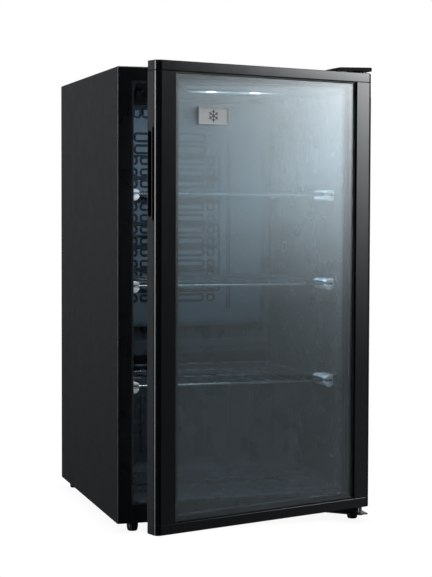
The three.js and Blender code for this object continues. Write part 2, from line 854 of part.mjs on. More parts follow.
function ring(outerHalf, z0, z1, width, y0, y1) {
  return alongY(frameShape(outerHalf, [z0, z1], outerHalf - width, [z0 + width, z1 - width]), y0, y1);
}

const badgeWidth = 63;
const badgeHeight = 30.5;
const badgeLeftInset = 118.5;
const badgeDrop = 93.5;
const badgeThickness = 2.5;

function badgePlate() {
  const face = glassFront - gap;
  const x = -halfWidth + badgeLeftInset;
  const z = cabinetTop - badgeDrop;
  return box(
    x - badgeWidth / 2, x + badgeWidth / 2,
    face - badgeThickness, face, z - badgeHeight / 2, z + badgeHeight / 2,
  );
}

function doorGasket() {
  const outerHalf = halfWidth - gasketInset;
  const z0 = doorBottom + gasketBottomInset;
  const z1 = doorTop - gasketTopInset;
  const shape = frameShape(
    outerHalf, [z0, z1], outerHalf - gasketWidth, [z0 + gasketBottomWidth, z1 - gasketWidth],
  );
  return alongY(shape, doorBack + gap, -gasketClearance);
}

add('door_left_stile', doorStile(-1), satinBlack, door);
add('door_right_stile', doorStile(1), satinBlack, door);
add(
  'door_top_rail',
  doorRail(
    openTop, doorTop, [openTop - past, openTop + rebate],
    doorTop - pinEngagement - boreEndClear, doorTop + past,
  ),
  satinBlack, door,
);
add(
  'door_bottom_rail',
  doorRail(
    doorBottom, openBottom, [openBottom - rebate, openBottom + past],
    doorBottom - past, doorBottom + pinEngagement + boreEndClear,
  ),
  satinBlack, door,
);
add('outer_glass', pane(glassFront), glass, door);
add('inner_glass', pane(innerGlassFront), glass, door);
add(
  'glass_spacer',
  ring(
    glassHalf - spacerInset, glassBottom + spacerInset, glassTop - spacerInset, spacerWidth,
    glassFront + glassThickness + gap, innerGlassFront - gap,
  ),
  spacerMetal, door,
);
add(
  'door_inner_frame',
  ring(glassHalf, glassBottom, glassTop, retainerOverlap, glassBack + gap, doorBack),
  blackPlastic, door,
);
add('door_gasket', doorGasket(), gasketRubber, door);
add('badge_plate', badgePlate(), chrome, door);

// ---- compressor bay ----
const plateThickness = 3;
const footOutset = 6;
const plateOverhang = 10;
const grommetRadius = 8;
const terminalDepth = 30;
const terminalHeight = 58;
const terminalRise = 42;
const terminalHalf = 28;
const terminalChamfer = 6;
const trayHalfX = 88;
const trayHalfY = 58;
const trayHeight = 20;
const trayWall = 2;
const trayRise = 4;
const drierX = 95;
const drierY = 20;
const drierRise = 40;
const drierLength = 90;
const drierRadius = 9;
const drierNeck = 3;
const coilSideClear = 50;
const coilBottomClear = 30;
const coilTopClear = 40;
const coilBracketInset = 45;
const coilBracketOverrun = 12;
const coilBracketSheet = 1.2;
const portRise = 30;
const dischargeY = 45;
const suctionY = -40;
const suctionReach = 45;
const glandInset = 28;
const glandRise = 24;
const bayFloor = base + panThickness;
const bayMiddle = (bayFront + cabinetDepth) / 2;
const compressorFeetZ = bayFloor + 2 * gap + grommetHeight;
const compressorStretch = 1.15;
const footReachX = compressorRadius * compressorStretch + footOutset;
const footReachY = compressorRadius - 2;

function compressor() {
  const r = compressorRadius;
  const h = compressorHeight;
  const pot = turned([
    [0, 2], [r * 0.8, 2], [r * 0.96, 14], [r * 0.97, h * 0.52], [r, h * 0.53], [r, h * 0.57],
    [r * 0.97, h * 0.58], [r * 0.94, h * 0.8], [r * 0.7, h * 0.95], [0, h],
  ], 28).scale(compressorStretch, 1, 1);
  const plateX = footReachX + plateOverhang;
  const plate = box(-plateX, plateX, -footReachY, footReachY, 0, plateThickness);
  return join(pot, plate).translate(compressorX, bayMiddle, compressorFeetZ);
}

function grommet(sideX, sideY) {
  const y = footReachY - plateOverhang;
  return rod(0, 0, 0, grommetHeight, grommetRadius, 14)
    .translate(compressorX + sideX * footReachX, bayMiddle + sideY * y, bayFloor + gap);
}

const terminalX = compressorX + compressorRadius * compressorStretch + gap;

function terminalBox() {
  const z0 = compressorFeetZ + terminalRise;
  const z1 = z0 + terminalHeight;
  const face = terminalX + terminalDepth;
  const profile = outline([
    [terminalX, z0], [face - terminalChamfer, z0], [face, z0 + terminalChamfer],
    [face, z1 - terminalChamfer], [face - terminalChamfer, z1], [terminalX, z1],
  ]);
  return alongY(profile, bayMiddle - terminalHalf, bayMiddle + terminalHalf);
}

// Open tray over the compressor, where its warmth dries up the melt water.
function evaporationTray() {
  const z0 = compressorFeetZ + compressorHeight + trayRise;
  const z1 = z0 + trayHeight;
  const openBox = (inset, floor, top) => box(
    compressorX - trayHalfX + inset, compressorX + trayHalfX - inset,
    bayMiddle - trayHalfY + inset, bayMiddle + trayHalfY - inset, floor, top,
  );
  return cut(openBox(0, z0, z1), openBox(trayWall, z0 + trayWall, z1 + past));
}

function filterDrier() {
  return turned([
    [0, 0], [drierNeck, 0], [drierNeck, 8], [drierRadius, 14], [drierRadius, drierLength - 14],
    [drierNeck, drierLength - 8], [drierNeck, drierLength], [0, drierLength],
  ], 16).translate(drierX, bayMiddle + drierY, bayFloor + drierRise);
}

// Wide serpentine of tube that stands off the back panel.
const coilHalf = halfWidth - coilSideClear;
const coilY = backFace + coilBack;
const coilBottom = bayTop + coilBottomClear;
const coilRuns = Math.floor((cabinetTop - coilTopClear - coilBottom) / coilPitch);

function condenserCoil() {
  const corners = [];
  for (let i = 0; i <= coilRuns; i += 1) {
    const side = i % 2 === 0 ? 1 : -1;
    const z = coilBottom + i * coilPitch;
    corners.push(at(side * coilHalf, coilY, z), at(-side * coilHalf, coilY, z));
  }
  return tube(corners, coilRadius, coilPitch / 2 - 0.5, 8, 4);
}

function condenserBracket(side) {
  const x = side * (coilHalf - coilBracketInset);
  const sheet = coilBracketSheet;
  const y0 = backFace + gap;
  const y1 = coilY - coilRadius - gap;
  const brim = 12;
  const hollow = 6;
  const crown = hollow + sheet;
  const hat = outline([
    [x - brim, y0], [x - hollow, y0], [x - hollow, y1 - sheet], [x + hollow, y1 - sheet],
    [x + hollow, y0], [x + brim, y0], [x + brim, y0 + sheet], [x + crown, y0 + sheet],
    [x + crown, y1], [x - crown, y1], [x - crown, y0 + sheet], [x - brim, y0 + sheet],
  ]);
  const coilTop = coilBottom + coilRuns * coilPitch;
  return alongZ(hat, coilBottom - coilBracketOverrun, coilTop + coilBracketOverrun);
}

function dischargeTube() {
  const z = compressorFeetZ + portRise;
  const start = at(terminalX + 12, bayMiddle + dischargeY, z);
  const away = at(coilHalf, bayMiddle + dischargeY, z);
  const rise = at(coilHalf, coilY, z);
  const end = at(coilHalf, coilY, coilBottom - coilRadius - gap);
  return tube([start, away, rise, end], tubeRadius, 14);
}

function suctionTube() {
  const x = terminalX + suctionReach;
  const y = bayMiddle + suctionY;
  const z = compressorFeetZ + portRise;
  const start = at(terminalX + 4, y, z);
  const corner = at(x, y, z);
  const end = at(x, y, bayTop - gap);
  return tube([start, corner, end], tubeRadius + 1, 14);
}

// Moulded gland on the back panel where the mains lead would enter.
function cordGland() {
  return turned([
    [0, 0], [13, 0], [13, 3], [8, 4], [7, 16], [4, 16], [4, 6], [0, 6],
  ], 20).rotateX(-Math.PI / 2).translate(halfWidth - glandInset, backFace + gap, bayTop + glandRise);
}

add('compressor', compressor(), compressorPaint);
for (const sideX of [-1, 1]) {
  for (const sideY of [-1, 1]) {
    const name = `compressor_grommet_${sideX < 0 ? 'left' : 'right'}_${sideY < 0 ? 'front' : 'rear'}`;
    add(name, grommet(sideX, sideY), rubber);
  }
}
add('terminal_box', terminalBox(), blackPlastic);
add('evaporation_tray', evaporationTray(), blackPlastic);
add('filter_drier', filterDrier(), copper);
add('condenser_coil', condenserCoil(), compressorPaint);
add('condenser_bracket_left', condenserBracket(-1), galvanised);
add('condenser_bracket_right', condenserBracket(1), galvanised);
add('discharge_tube', dischargeTube(), copper);
add('suction_tube', suctionTube(), copper);
add('cord_gland', cordGland(), blackPlastic);

// ---- origin: bottom centre of the whole object ----
merchandiser.updateMatrixWorld(true);
const extent = new THREE.Box3().setFromObject(merchandiser, true);
merchandiser.position.set(
  -(extent.min.x + extent.max.x) / 2,
  -(extent.min.y + extent.max.y) / 2,
  -extent.min.z,
);

export default merchandiser;
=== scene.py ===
import json
import math

import bmesh
import bpy
from mathutils import Matrix, Vector


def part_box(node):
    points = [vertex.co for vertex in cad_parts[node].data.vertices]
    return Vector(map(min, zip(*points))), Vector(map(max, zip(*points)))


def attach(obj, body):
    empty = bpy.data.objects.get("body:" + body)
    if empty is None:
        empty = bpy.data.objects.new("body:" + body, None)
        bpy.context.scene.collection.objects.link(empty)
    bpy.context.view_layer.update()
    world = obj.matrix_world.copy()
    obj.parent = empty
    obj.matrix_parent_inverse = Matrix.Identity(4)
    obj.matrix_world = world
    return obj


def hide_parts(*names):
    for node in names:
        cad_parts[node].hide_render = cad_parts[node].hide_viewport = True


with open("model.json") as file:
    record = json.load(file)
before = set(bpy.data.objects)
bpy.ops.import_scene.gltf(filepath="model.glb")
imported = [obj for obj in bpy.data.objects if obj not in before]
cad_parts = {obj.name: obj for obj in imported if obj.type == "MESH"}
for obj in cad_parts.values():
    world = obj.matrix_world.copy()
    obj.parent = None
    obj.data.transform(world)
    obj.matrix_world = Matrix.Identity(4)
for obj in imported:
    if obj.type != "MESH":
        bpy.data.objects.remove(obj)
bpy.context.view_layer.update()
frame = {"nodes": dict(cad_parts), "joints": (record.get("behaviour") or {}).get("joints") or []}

print("frame loaded with", len(frame["nodes"]), "nodes")

# Places below are in millimetres from the middle of the cabinet's front face, at the floor:
# x to the viewer's right, y from the door to the back, z up. spot() turns them into the frame.
mm = 0.001
shellLow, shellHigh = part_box("outer_shell")
middleX = (shellLow.x + shellHigh.x) / 2
frontY = shellLow.y
baseZ = shellLow.z / mm
halfWidth = (shellHigh.x - shellLow.x) / 2 / mm
topZ = shellHigh.z / mm

hingeJoint = next(joint for joint in frame["joints"] if joint["name"] == "door_hinge")
hingeAt = Vector(hingeJoint["pos_m"])
ajar = math.radians(-hingeJoint["range_deg"][0])


def turnedAbout(centre, angle, axis):
    return Matrix.Translation(centre) @ Matrix.Rotation(angle, 4, axis) @ Matrix.Translation(-centre)


openDoor = turnedAbout(hingeAt, ajar, "Z")


def spot(x, y, z):
    return Vector((middleX + x * mm, frontY + y * mm, z * mm))


def cabinetBox(node):
    # a node's box in the millimetres above
    low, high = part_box(node)
    return [Vector(((p.x - middleX) / mm, (p.y - frontY) / mm, p.z / mm)) for p in (low, high)]


def closedBox(node):
    # the box of a door node with the door shut
    shut = openDoor.inverted()
    corners = [shut @ v.co for v in frame["nodes"][node].data.vertices]
    places = [((p.x - middleX) / mm, (p.y - frontY) / mm, p.z / mm) for p in corners]
    return Vector([min(c) for c in zip(*places)]), Vector([max(c) for c in zip(*places)])


# ---- modelling steps ----
def pick(piece):
    bpy.ops.object.select_all(action="DESELECT")
    piece.select_set(True)
    bpy.context.view_layer.objects.active = piece


def settle(name):
    # the new object's place, turn and size go into its mesh
    piece = bpy.context.active_object
    piece.name = name
    piece.data.name = name
    bpy.ops.object.transform_apply(location=True, rotation=True, scale=True)
    return piece


def block(name, low, high):
    a, b = spot(*low), spot(*high)
    bpy.ops.object.select_all(action="DESELECT")
    bpy.ops.mesh.primitive_cube_add(size=1, location=(a + b) / 2, scale=b - a)
    return settle(name)


def drum(name, centre, radius, length, axis="Z", sides=40):
    turn = {"X": (0, math.pi / 2, 0), "Y": (math.pi / 2, 0, 0), "Z": (0, 0, 0)}[axis]
    bpy.ops.object.select_all(action="DESELECT")
    bpy.ops.mesh.primitive_cylinder_add(
        vertices=sides, radius=radius * mm, depth=length * mm, location=spot(*centre), rotation=turn
    )
    return settle(name)


def edit(piece, kind):
    pick(piece)
    bpy.ops.object.mode_set(mode="EDIT")
    bpy.ops.mesh.select_mode(type=kind)
    bpy.ops.mesh.select_all(action="DESELECT")


def done():
    bpy.ops.object.mode_set(mode="OBJECT")


def chooseFaces(piece, wanted):
    bpy.ops.mesh.select_mode(type="FACE")
    bpy.ops.mesh.select_all(action="DESELECT")
    mesh = bmesh.from_edit_mesh(piece.data)
    for face in mesh.faces:
        if wanted(face.calc_center_median(), face.normal):
            face.select_set(True)
    bmesh.update_edit_mesh(piece.data)


def chooseEdges(piece, wanted):
    bpy.ops.mesh.select_mode(type="EDGE")
    bpy.ops.mesh.select_all(action="DESELECT")
    mesh = bmesh.from_edit_mesh(piece.data)
    for edge in mesh.edges:
        if wanted(edge.verts[0].co, edge.verts[1].co, edge):
            edge.select_set(True)
    bmesh.update_edit_mesh(piece.data)


def roundEdges(piece, wanted, radius, steps):
    chooseEdges(piece, wanted)
    bpy.ops.mesh.bevel(offset=radius * mm, segments=steps, affect="EDGES", clamp_overlap=False)


def near(value, target):
    return abs(value - target) < 1e-5


def along(a, b, axis):
    # true for an edge that runs along one axis
    way = (b - a).normalized()
    return abs(way["xyz".index(axis)]) > 0.999


def soften(piece, width, steps=2, angle=30):
    pick(piece)
    bpy.ops.object.modifier_add(type="BEVEL")
    edge = piece.modifiers[-1]
    edge.width = width * mm
    edge.segments = steps
    edge.limit_method = "ANGLE"
    edge.angle_limit = math.radians(angle)
    bpy.ops.object.modifier_apply(modifier=edge.name)
    return flatten(smooth(piece))


def flatten(piece):
    # keeps big flat faces flat where they meet small rounded ones
    pick(piece)
    bpy.ops.object.modifier_add(type="WEIGHTED_NORMAL")
    level = piece.modifiers[-1]
    level.keep_sharp = True
    level.weight = 100
    bpy.ops.object.modifier_apply(modifier=level.name)
    return piece


def smooth(piece, angle=38):
    pick(piece)
    bpy.ops.object.shade_smooth_by_angle(angle=math.radians(angle))
    return piece


def carve(piece, *cutters):
    for cutter in cutters:
        pick(piece)
        bpy.ops.object.modifier_add(type="BOOLEAN")
        cut = piece.modifiers[-1]
        cut.operation = "DIFFERENCE"
        cut.solver = "EXACT"
        cut.object = cutter
        bpy.ops.object.modifier_apply(modifier=cut.name)
        bpy.data.objects.remove(cutter)
    return piece


def gather(name, *parts):
    bpy.ops.object.select_all(action="DESELECT")
    for part in parts:
        part.select_set(True)
    bpy.context.view_layer.objects.active = parts[0]
    bpy.ops.object.join()
    whole = bpy.context.active_object
    whole.name = name
    whole.data.name = name
    return whole


def refined(name, node, width, steps=2, angle=30):
    # the node's own shape with its corners rounded as they are made
    source = frame["nodes"][node]
    piece = bpy.data.objects.new(name, source.data.copy())
    bpy.context.scene.collection.objects.link(piece)
    piece.data.materials.clear()
    edit(piece, "VERT")
    bpy.ops.mesh.select_all(action="SELECT")
    bpy.ops.mesh.remove_doubles(threshold=1e-6)
    bpy.ops.mesh.dissolve_limited(angle_limit=math.radians(1))
    done()
    piece.data.name = name
    return soften(piece, width, steps, angle)


def ringBlock(name, low, high, width):
    # a rectangular frame that lies in the door's plane
    piece = block(name, low, high)
    edit(piece, "FACE")
    chooseFaces(piece, lambda c, n: abs(n.y) > 0.9)
    bpy.ops.mesh.inset(thickness=width * mm, use_individual=True)
    bpy.ops.mesh.delete(type="FACE")
    chooseEdges(piece, lambda a, b, e: e.is_boundary)
    bpy.ops.mesh.bridge_edge_loops()
    done()
    return piece


def spun(name, centre, profile, sides=36, axis="Z"):
    # a turned piece: profile is [radius, height] from one end of its axis to the other
    mesh = bpy.data.meshes.new(name)
    mesh.from_pydata([(r * mm, 0, h * mm) for r, h in profile],
                     [(i, i + 1) for i in range(len(profile) - 1)], [])
    piece = bpy.data.objects.new(name, mesh)
    bpy.context.scene.collection.objects.link(piece)
    edit(piece, "VERT")
    bpy.ops.mesh.select_all(action="SELECT")
    bpy.ops.mesh.spin(steps=sides, angle=2 * math.pi, center=(0, 0, 0), axis=(0, 0, 1))
    bpy.ops.mesh.select_all(action="SELECT")
    bpy.ops.mesh.remove_doubles(threshold=1e-6)
    bpy.ops.mesh.normals_make_consistent(inside=False)
    done()
    lay = {"Z": 0, "Y": math.pi / 2, "-Y": -math.pi / 2}[axis]
    mesh.transform(Matrix.Translation(spot(*centre)) @ Matrix.Rotation(lay, 4, "X"))
    return smooth(piece)


def rounded(points, bend, closed):
    # the corners of a wire's path, each as a short arc
    places = [Vector(p) for p in points]
    last = len(places) - 1
    path = []
    for i, corner in enumerate(places):
        if bend == 0 or (not closed and i in (0, last)):
            path.append(corner)
            continue
        before = places[i - 1] - corner
        after = places[(i + 1) % (last + 1)] - corner
        half = before.angle(after) / 2
        reach = min(bend / math.tan(half), before.length * 0.49, after.length * 0.49)
        start, end = corner + before.normalized() * reach, corner + after.normalized() * reach
        for step in range(5):
            t = step / 4
            path.append(start.lerp(corner, t).lerp(corner.lerp(end, t), t))
    return path


def wire(name, points, thickness, bend=0, closed=False, roundness=2):
    line = bpy.data.curves.new(name, "CURVE")
    line.dimensions = "3D"
    line.bevel_depth = thickness / 2 * mm
    line.bevel_resolution = roundness
    line.use_fill_caps = True
    path = rounded(points, bend, closed)
    run = line.splines.new("POLY")
    run.points.add(len(path) - 1)
    run.use_cyclic_u = closed
    for point, place in zip(run.points, path):
        point.co = (*spot(*place), 1)
    piece = bpy.data.objects.new(name, line)
    bpy.context.scene.collection.objects.link(piece)
    pick(piece)
    bpy.ops.object.convert(target="MESH")
    return smooth(bpy.context.active_object, 50)


def fit(piece, body, slotName, material, *nodes):
    piece.data.materials.clear()
    piece.data.materials.append(material)
    if body == "door":
        piece.data.transform(openDoor)
    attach(piece, body)
    if nodes:
        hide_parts(*nodes)
    return piece


# ---- finishes ----
def noiseFor(tree, where, size, stretch=(1, 1, 1), detail=4):
    # noise on the piece's own coordinates; size is the pattern's width in millimetres
    spread = tree.nodes.new("ShaderNodeMapping")
    spread.inputs["Scale"].default_value = stretch
    tree.links.new(where, spread.inputs["Vector"])
    noise = tree.nodes.new("ShaderNodeTexNoise")
    noise.inputs["Scale"].default_value = 1 / (size * mm)
    noise.inputs["Detail"].default_value = detail
    tree.links.new(spread.outputs["Vector"], noise.inputs["Vector"])
    return noise.outputs["Fac"]


def ranged(tree, value, low, high, fromLow=0.3, fromHigh=0.7):
    slope = tree.nodes.new("ShaderNodeMapRange")
    slope.inputs["From Min"].default_value = fromLow
    slope.inputs["From Max"].default_value = fromHigh
    slope.inputs["To Min"].default_value = low
    slope.inputs["To Max"].default_value = high
    tree.links.new(value, slope.inputs["Value"])
    return slope.outputs["Result"]


def blended(tree, amount, first, second):
    mix = tree.nodes.new("ShaderNodeMix")
    mix.data_type = "RGBA"
    tree.links.new(amount, mix.inputs["Factor"])
    for socket, colour in ((mix.inputs["A"], first), (mix.inputs["B"], second)):
        if isinstance(colour, tuple):
            socket.default_value = (*colour, 1)
        else:
            tree.links.new(colour, socket)
    return mix.outputs["Result"]


def bumped(tree, height, depth, strength=1.0):
    bump = tree.nodes.new("ShaderNodeBump")
    bump.inputs["Distance"].default_value = depth * mm
    bump.inputs["Strength"].default_value = strength
    tree.links.new(height, bump.inputs["Height"])
    return bump.outputs["Normal"]


def finish(name, look):
    # cloudy colour, uneven gloss and a fine skin, each at its own size
    material = bpy.data.materials.new(name)
    material.use_nodes = True
    tree = material.node_tree
    shader = tree.nodes["Principled BSDF"]
    where = tree.nodes.new("ShaderNodeTexCoord").outputs["Object"]
    clouds = noiseFor(tree, where, look["cloud"], look.get("stretch", (1, 1, 1)))
    tint = blended(tree, ranged(tree, clouds, 0, 1), look["colour"], look["second"])
    tree.links.new(tint, shader.inputs["Base Color"])
    gloss = noiseFor(tree, where, look["cloud"] * 0.37, look.get("stretch", (1, 1, 1)), 6)
    tree.links.new(ranged(tree, gloss, *look["rough"]), shader.inputs["Roughness"])
    skin = noiseFor(tree, where, look["grain"], look.get("stretch", (1, 1, 1)), 3)
    tree.links.new(bumped(tree, skin, look["depth"]), shader.inputs["Normal"])
    shader.inputs["Metallic"].default_value = look.get("metal", 0)
    shader.inputs["Specular IOR Level"].default_value = look.get("specular", 0.5)
    shader.inputs["Coat Weight"].default_value = look.get("coat", 0)
    shader.inputs["Coat Roughness"].default_value = look.get("coatRough", 0.1)
    return material


looks = {
    "cabinetPaint": {"colour": (0.0040, 0.0048, 0.0058), "second": (0.0052, 0.0062, 0.0074), "cloud": 90,
                     "rough": (0.26, 0.33), "grain": 1.6, "depth": 0.012},
    "doorPaint": {"colour": (0.0040, 0.0048, 0.0060), "second": (0.0054, 0.0063, 0.0078), "cloud": 60,
                  "stretch": (1, 1, 0.15), "rough": (0.12, 0.17), "grain": 1.1, "depth": 0.004},
    "linerPlastic": {"colour": (0.022, 0.027, 0.032), "second": (0.030, 0.035, 0.041), "cloud": 120,
                     "rough": (0.24, 0.34), "grain": 1.4, "depth": 0.02},
    "evaporatorPaint": {"colour": (0.056, 0.076, 0.092), "second": (0.072, 0.095, 0.114), "cloud": 45,
                        "rough": (0.34, 0.46), "grain": 1.8, "depth": 0.03, "metal": 0.35},
    # painted shade: the channels are coloured much darker than the plate they are pressed from, standing in
    # for the shade and dark reflections along their relief
    "channelPaintedShade": {"colour": (0.010, 0.014, 0.018), "second": (0.016, 0.020, 0.026), "cloud": 30,
                     "rough": (0.20, 0.30), "grain": 1.8, "depth": 0.02, "metal": 0.2},
    "blackPlastic": {"colour": (0.007, 0.0075, 0.008), "second": (0.011, 0.0115, 0.012), "cloud": 18,
                     "rough": (0.40, 0.52), "grain": 0.7, "depth": 0.03},
    "whitePlastic": {"colour": (0.78, 0.80, 0.82), "second": (0.70, 0.73, 0.76), "cloud": 14,
                     "rough": (0.16, 0.26), "grain": 0.9, "depth": 0.01, "coat": 0.3},
    "chromeWire": {"colour": (0.80, 0.84, 0.88), "second": (0.70, 0.74, 0.78), "cloud": 9,
                   "rough": (0.08, 0.2), "grain": 0.8, "depth": 0.015, "metal": 1},
    "zincSteel": {"colour": (0.42, 0.43, 0.43), "second": (0.52, 0.52, 0.50), "cloud": 8,
                  "rough": (0.30, 0.46), "grain": 0.6, "depth": 0.02, "metal": 1},
    "spacerMetal": {"colour": (0.020, 0.025, 0.030), "second": (0.030, 0.036, 0.042), "cloud": 20,
                    "stretch": (0.1, 1, 0.1), "rough": (0.34, 0.46), "grain": 0.9, "depth": 0.02,
                    "metal": 0.5},
    "gasketRubber": {"colour": (0.012, 0.013, 0.014), "second": (0.020, 0.021, 0.022), "cloud": 25,
                     "rough": (0.5, 0.7), "grain": 0.8, "depth": 0.03},
    "hardRubber": {"colour": (0.010, 0.010, 0.010), "second": (0.017, 0.017, 0.017), "cloud": 6,
                   "rough": (0.65, 0.85), "grain": 0.5, "depth": 0.05},
    "compressorPaint": {"colour": (0.008, 0.008, 0.009), "second": (0.016, 0.016, 0.016), "cloud": 22,
                        "rough": (0.28, 0.48), "grain": 1.2, "depth": 0.05, "coat": 0.2},
    "copper": {"colour": (0.62, 0.29, 0.16), "second": (0.42, 0.20, 0.13), "cloud": 12,
               "rough": (0.2, 0.42), "grain": 0.7, "depth": 0.02, "metal": 1},
    "foam": {"colour": (0.66, 0.52, 0.22), "second": (0.55, 0.42, 0.18), "cloud": 16,
             "rough": (0.85, 0.98), "grain": 1.5, "depth": 0.4},
    "badgeMetal": {"colour": (0.92, 0.94, 0.96), "second": (0.88, 0.90, 0.93), "cloud": 40,
                   "stretch": (0.1, 1, 1), "rough": (0.26, 0.34), "grain": 0.5, "depth": 0.002},
    "badgeInk": {"colour": (0.02, 0.024, 0.028), "second": (0.03, 0.034, 0.038), "cloud": 5,
                 "rough": (0.3, 0.4), "grain": 0.5, "depth": 0.01},
}
paint = {name: finish(name, look) for name, look in looks.items()}


def galvanisedSteel():
    # zinc spangle: flat crystals, each with its own grey and gloss
    material = bpy.data.materials.new("galvanisedSteel")
    material.use_nodes = True
    tree = material.node_tree
    shader = tree.nodes["Principled BSDF"]
    where = tree.nodes.new("ShaderNodeTexCoord").outputs["Object"]
    crystals = tree.nodes.new("ShaderNodeTexVoronoi")
    crystals.inputs["Scale"].default_value = 1 / (11 * mm)
    tree.links.new(where, crystals.inputs["Vector"])
    single = tree.nodes.new("ShaderNodeSeparateColor")
    tree.links.new(crystals.outputs["Color"], single.inputs["Color"])
    grey = single.outputs["Red"]
    tint = blended(tree, ranged(tree, grey, 0, 1, 0, 1), (0.30, 0.31, 0.32), (0.44, 0.45, 0.46))
    tree.links.new(tint, shader.inputs["Base Color"])
    tree.links.new(ranged(tree, single.outputs["Green"], 0.32, 0.5, 0, 1), shader.inputs["Roughness"])
    skin = noiseFor(tree, where, 1.5)
    tree.links.new(bumped(tree, skin, 0.02), shader.inputs["Normal"])
    shader.inputs["Metallic"].default_value = 0.9
    return material


# the pane's tint, and its painted glare: how much of the pane turns pale at the bottom and at the top, and
# the heights in millimetres between which it grows
glassLook = {"clear": (0.86, 0.94, 0.97), "tinted": (0.84, 0.93, 0.965), "paintedGlareTop": 0.20, "paintedGlareLow": 0.015,
             "paintedGlareFrom": baseZ + 400, "paintedGlareTo": baseZ + 790}


def clearGlass():
    # faintly grey-blue float glass, turned paler and less clear towards the top of the pane as a painted
    # glare that stands in for a reflection
    material = bpy.data.materials.new("clearGlass")
    material.use_nodes = True
    tree = material.node_tree
    shader = tree.nodes["Principled BSDF"]
    where = tree.nodes.new("ShaderNodeTexCoord").outputs["Object"]
    film = noiseFor(tree, where, 70)
    tint = blended(tree, ranged(tree, film, 0, 1), glassLook["clear"], glassLook["tinted"])
    tree.links.new(tint, shader.inputs["Base Color"])
    shader.inputs["Roughness"].default_value = 0
    axes = tree.nodes.new("ShaderNodeSeparateXYZ")
    tree.links.new(where, axes.inputs["Vector"])
    # painted glare: higher up, the pane lets less light through and shows its pale base colour in place of a
    # reflection
    clearnessUnderPaintedGlare = ranged(tree, axes.outputs["Z"], 1 - glassLook["paintedGlareLow"], 1 - glassLook["paintedGlareTop"],
                       glassLook["paintedGlareFrom"] * mm, glassLook["paintedGlareTo"] * mm)
    tree.links.new(clearnessUnderPaintedGlare, shader.inputs["Transmission Weight"])
    shader.inputs["IOR"].default_value = 1.52
    return material


# each emitter: its place along the cover, how far its light spreads, its strength
lampGlow = {"emitters": ((-56, 60, 2.4), (-56, 12, 40), (29, 60, 2.4), (29, 12, 40)), "low": 0.6, "band": 2.4}


def lampLight():
    # two bright emitters inside one frosted cover, fading towards its ends
    material = bpy.data.materials.new("lampLight")
    material.use_nodes = True
    tree = material.node_tree
    shader = tree.nodes["Principled BSDF"]
    where = tree.nodes.new("ShaderNodeTexCoord").outputs["Object"]
    frost = noiseFor(tree, where, 6)
    tint = blended(tree, ranged(tree, frost, 0, 1), (0.30, 0.36, 0.42), (0.26, 0.32, 0.38))
    tree.links.new(tint, shader.inputs["Base Color"])
    tree.links.new(ranged(tree, frost, 0.3, 0.45), shader.inputs["Roughness"])
    tree.links.new(bumped(tree, frost, 0.02), shader.inputs["Normal"])
    axes = tree.nodes.new("ShaderNodeSeparateXYZ")
    tree.links.new(where, axes.inputs["Vector"])
    glow = None
    for middle, reach, peak in lampGlow["emitters"]:
        offset = tree.nodes.new("ShaderNodeMath")
        offset.operation = "SUBTRACT"
        offset.inputs[1].default_value = spot(middle, 0, 0).x
        tree.links.new(axes.outputs["X"], offset.inputs[0])
        away = tree.nodes.new("ShaderNodeMath")
        away.operation = "ABSOLUTE"
        tree.links.new(offset.outputs[0], away.inputs[0])
        fade = tree.nodes.new("ShaderNodeMapRange")
        fade.interpolation_type = "SMOOTHERSTEP"
        fade.inputs["From Min"].default_value = 0
        fade.inputs["From Max"].default_value = reach * mm
        fade.inputs["To Min"].default_value = peak
        fade.inputs["To Max"].default_value = 0
        tree.links.new(away.outputs[0], fade.inputs["Value"])
        if glow is None:
            glow = fade.outputs["Result"]
            continue
        both = tree.nodes.new("ShaderNodeMath")
        both.operation = "ADD"
        tree.links.new(glow, both.inputs[0])
        tree.links.new(fade.outputs["Result"], both.inputs[1])
        glow = both.outputs[0]
    # only the lowest part of the cover glows
    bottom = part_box("led_lens")[0].z
    band = ranged(tree, axes.outputs["Z"], 1, 0, bottom + lampGlow["low"] * mm,
                  bottom + lampGlow["band"] * mm)
    shone = tree.nodes.new("ShaderNodeMath")
    shone.operation = "MULTIPLY"
    tree.links.new(glow, shone.inputs[0])
    tree.links.new(band, shone.inputs[1])
    tree.links.new(shone.outputs[0], shader.inputs["Emission Strength"])
    shader.inputs["Emission Color"].default_value = (0.72, 0.88, 1.0, 1)
    return material


paint["galvanised"] = galvanisedSteel()
paint["glass"] = clearGlass()
paint["lamp"] = lampLight()
print("finishes mixed:", len(paint))

# ---- camera and studio ----
camera = {"place": (-0.88315, -2.82476, 0.5973), "pitch": 87.477, "roll": -0.17, "turn": -17.36,
          "lens": 126.61, "sensor": 36, "rise": -0.0409}
lens = bpy.data.cameras.new("camera")
lens.lens = camera["lens"]
lens.sensor_fit = "HORIZONTAL"
lens.sensor_width = camera["sensor"]
lens.shift_y = camera["rise"]
lens.clip_start = 0.05
viewer = bpy.data.objects.new("camera", lens)
viewer.location = camera["place"]
viewer.rotation_euler = [math.radians(camera[turn]) for turn in ("pitch", "roll", "turn")]
bpy.context.scene.collection.objects.link(viewer)
bpy.context.scene.camera = viewer
bpy.context.scene.view_settings.view_transform = "Standard"

studio = {
    "backdrop": 1.0, "frontAir": 0.02, "rearAir": 0.145, "airTurn": (-0.7, 0.8),
    "lowShare": 0.38, "lowTurn": (-0.19, 0.083), "airColour": (0.90, 0.96, 1.0),
    "floorSize": 30, "floorShade": (0.13, 0.13, 0.13), "floorDrop": 0.0003,
    "contactReach": 0.03, "contactShade": 0.1, "contactBright": 1.002, "clothColour": (0.95, 0.98, 1.0),
}


def seenOrNot(tree, unseen, seen):
    # one shader for what the camera sees straight, the other for light and reflections
    rays = tree.nodes.new("ShaderNodeLightPath")
    mixed = tree.nodes.new("ShaderNodeMixShader")
    tree.links.new(rays.outputs["Is Camera Ray"], mixed.inputs["Fac"])
    tree.links.new(unseen, mixed.inputs[1])
    tree.links.new(seen, mixed.inputs[2])
    return mixed.outputs[0]


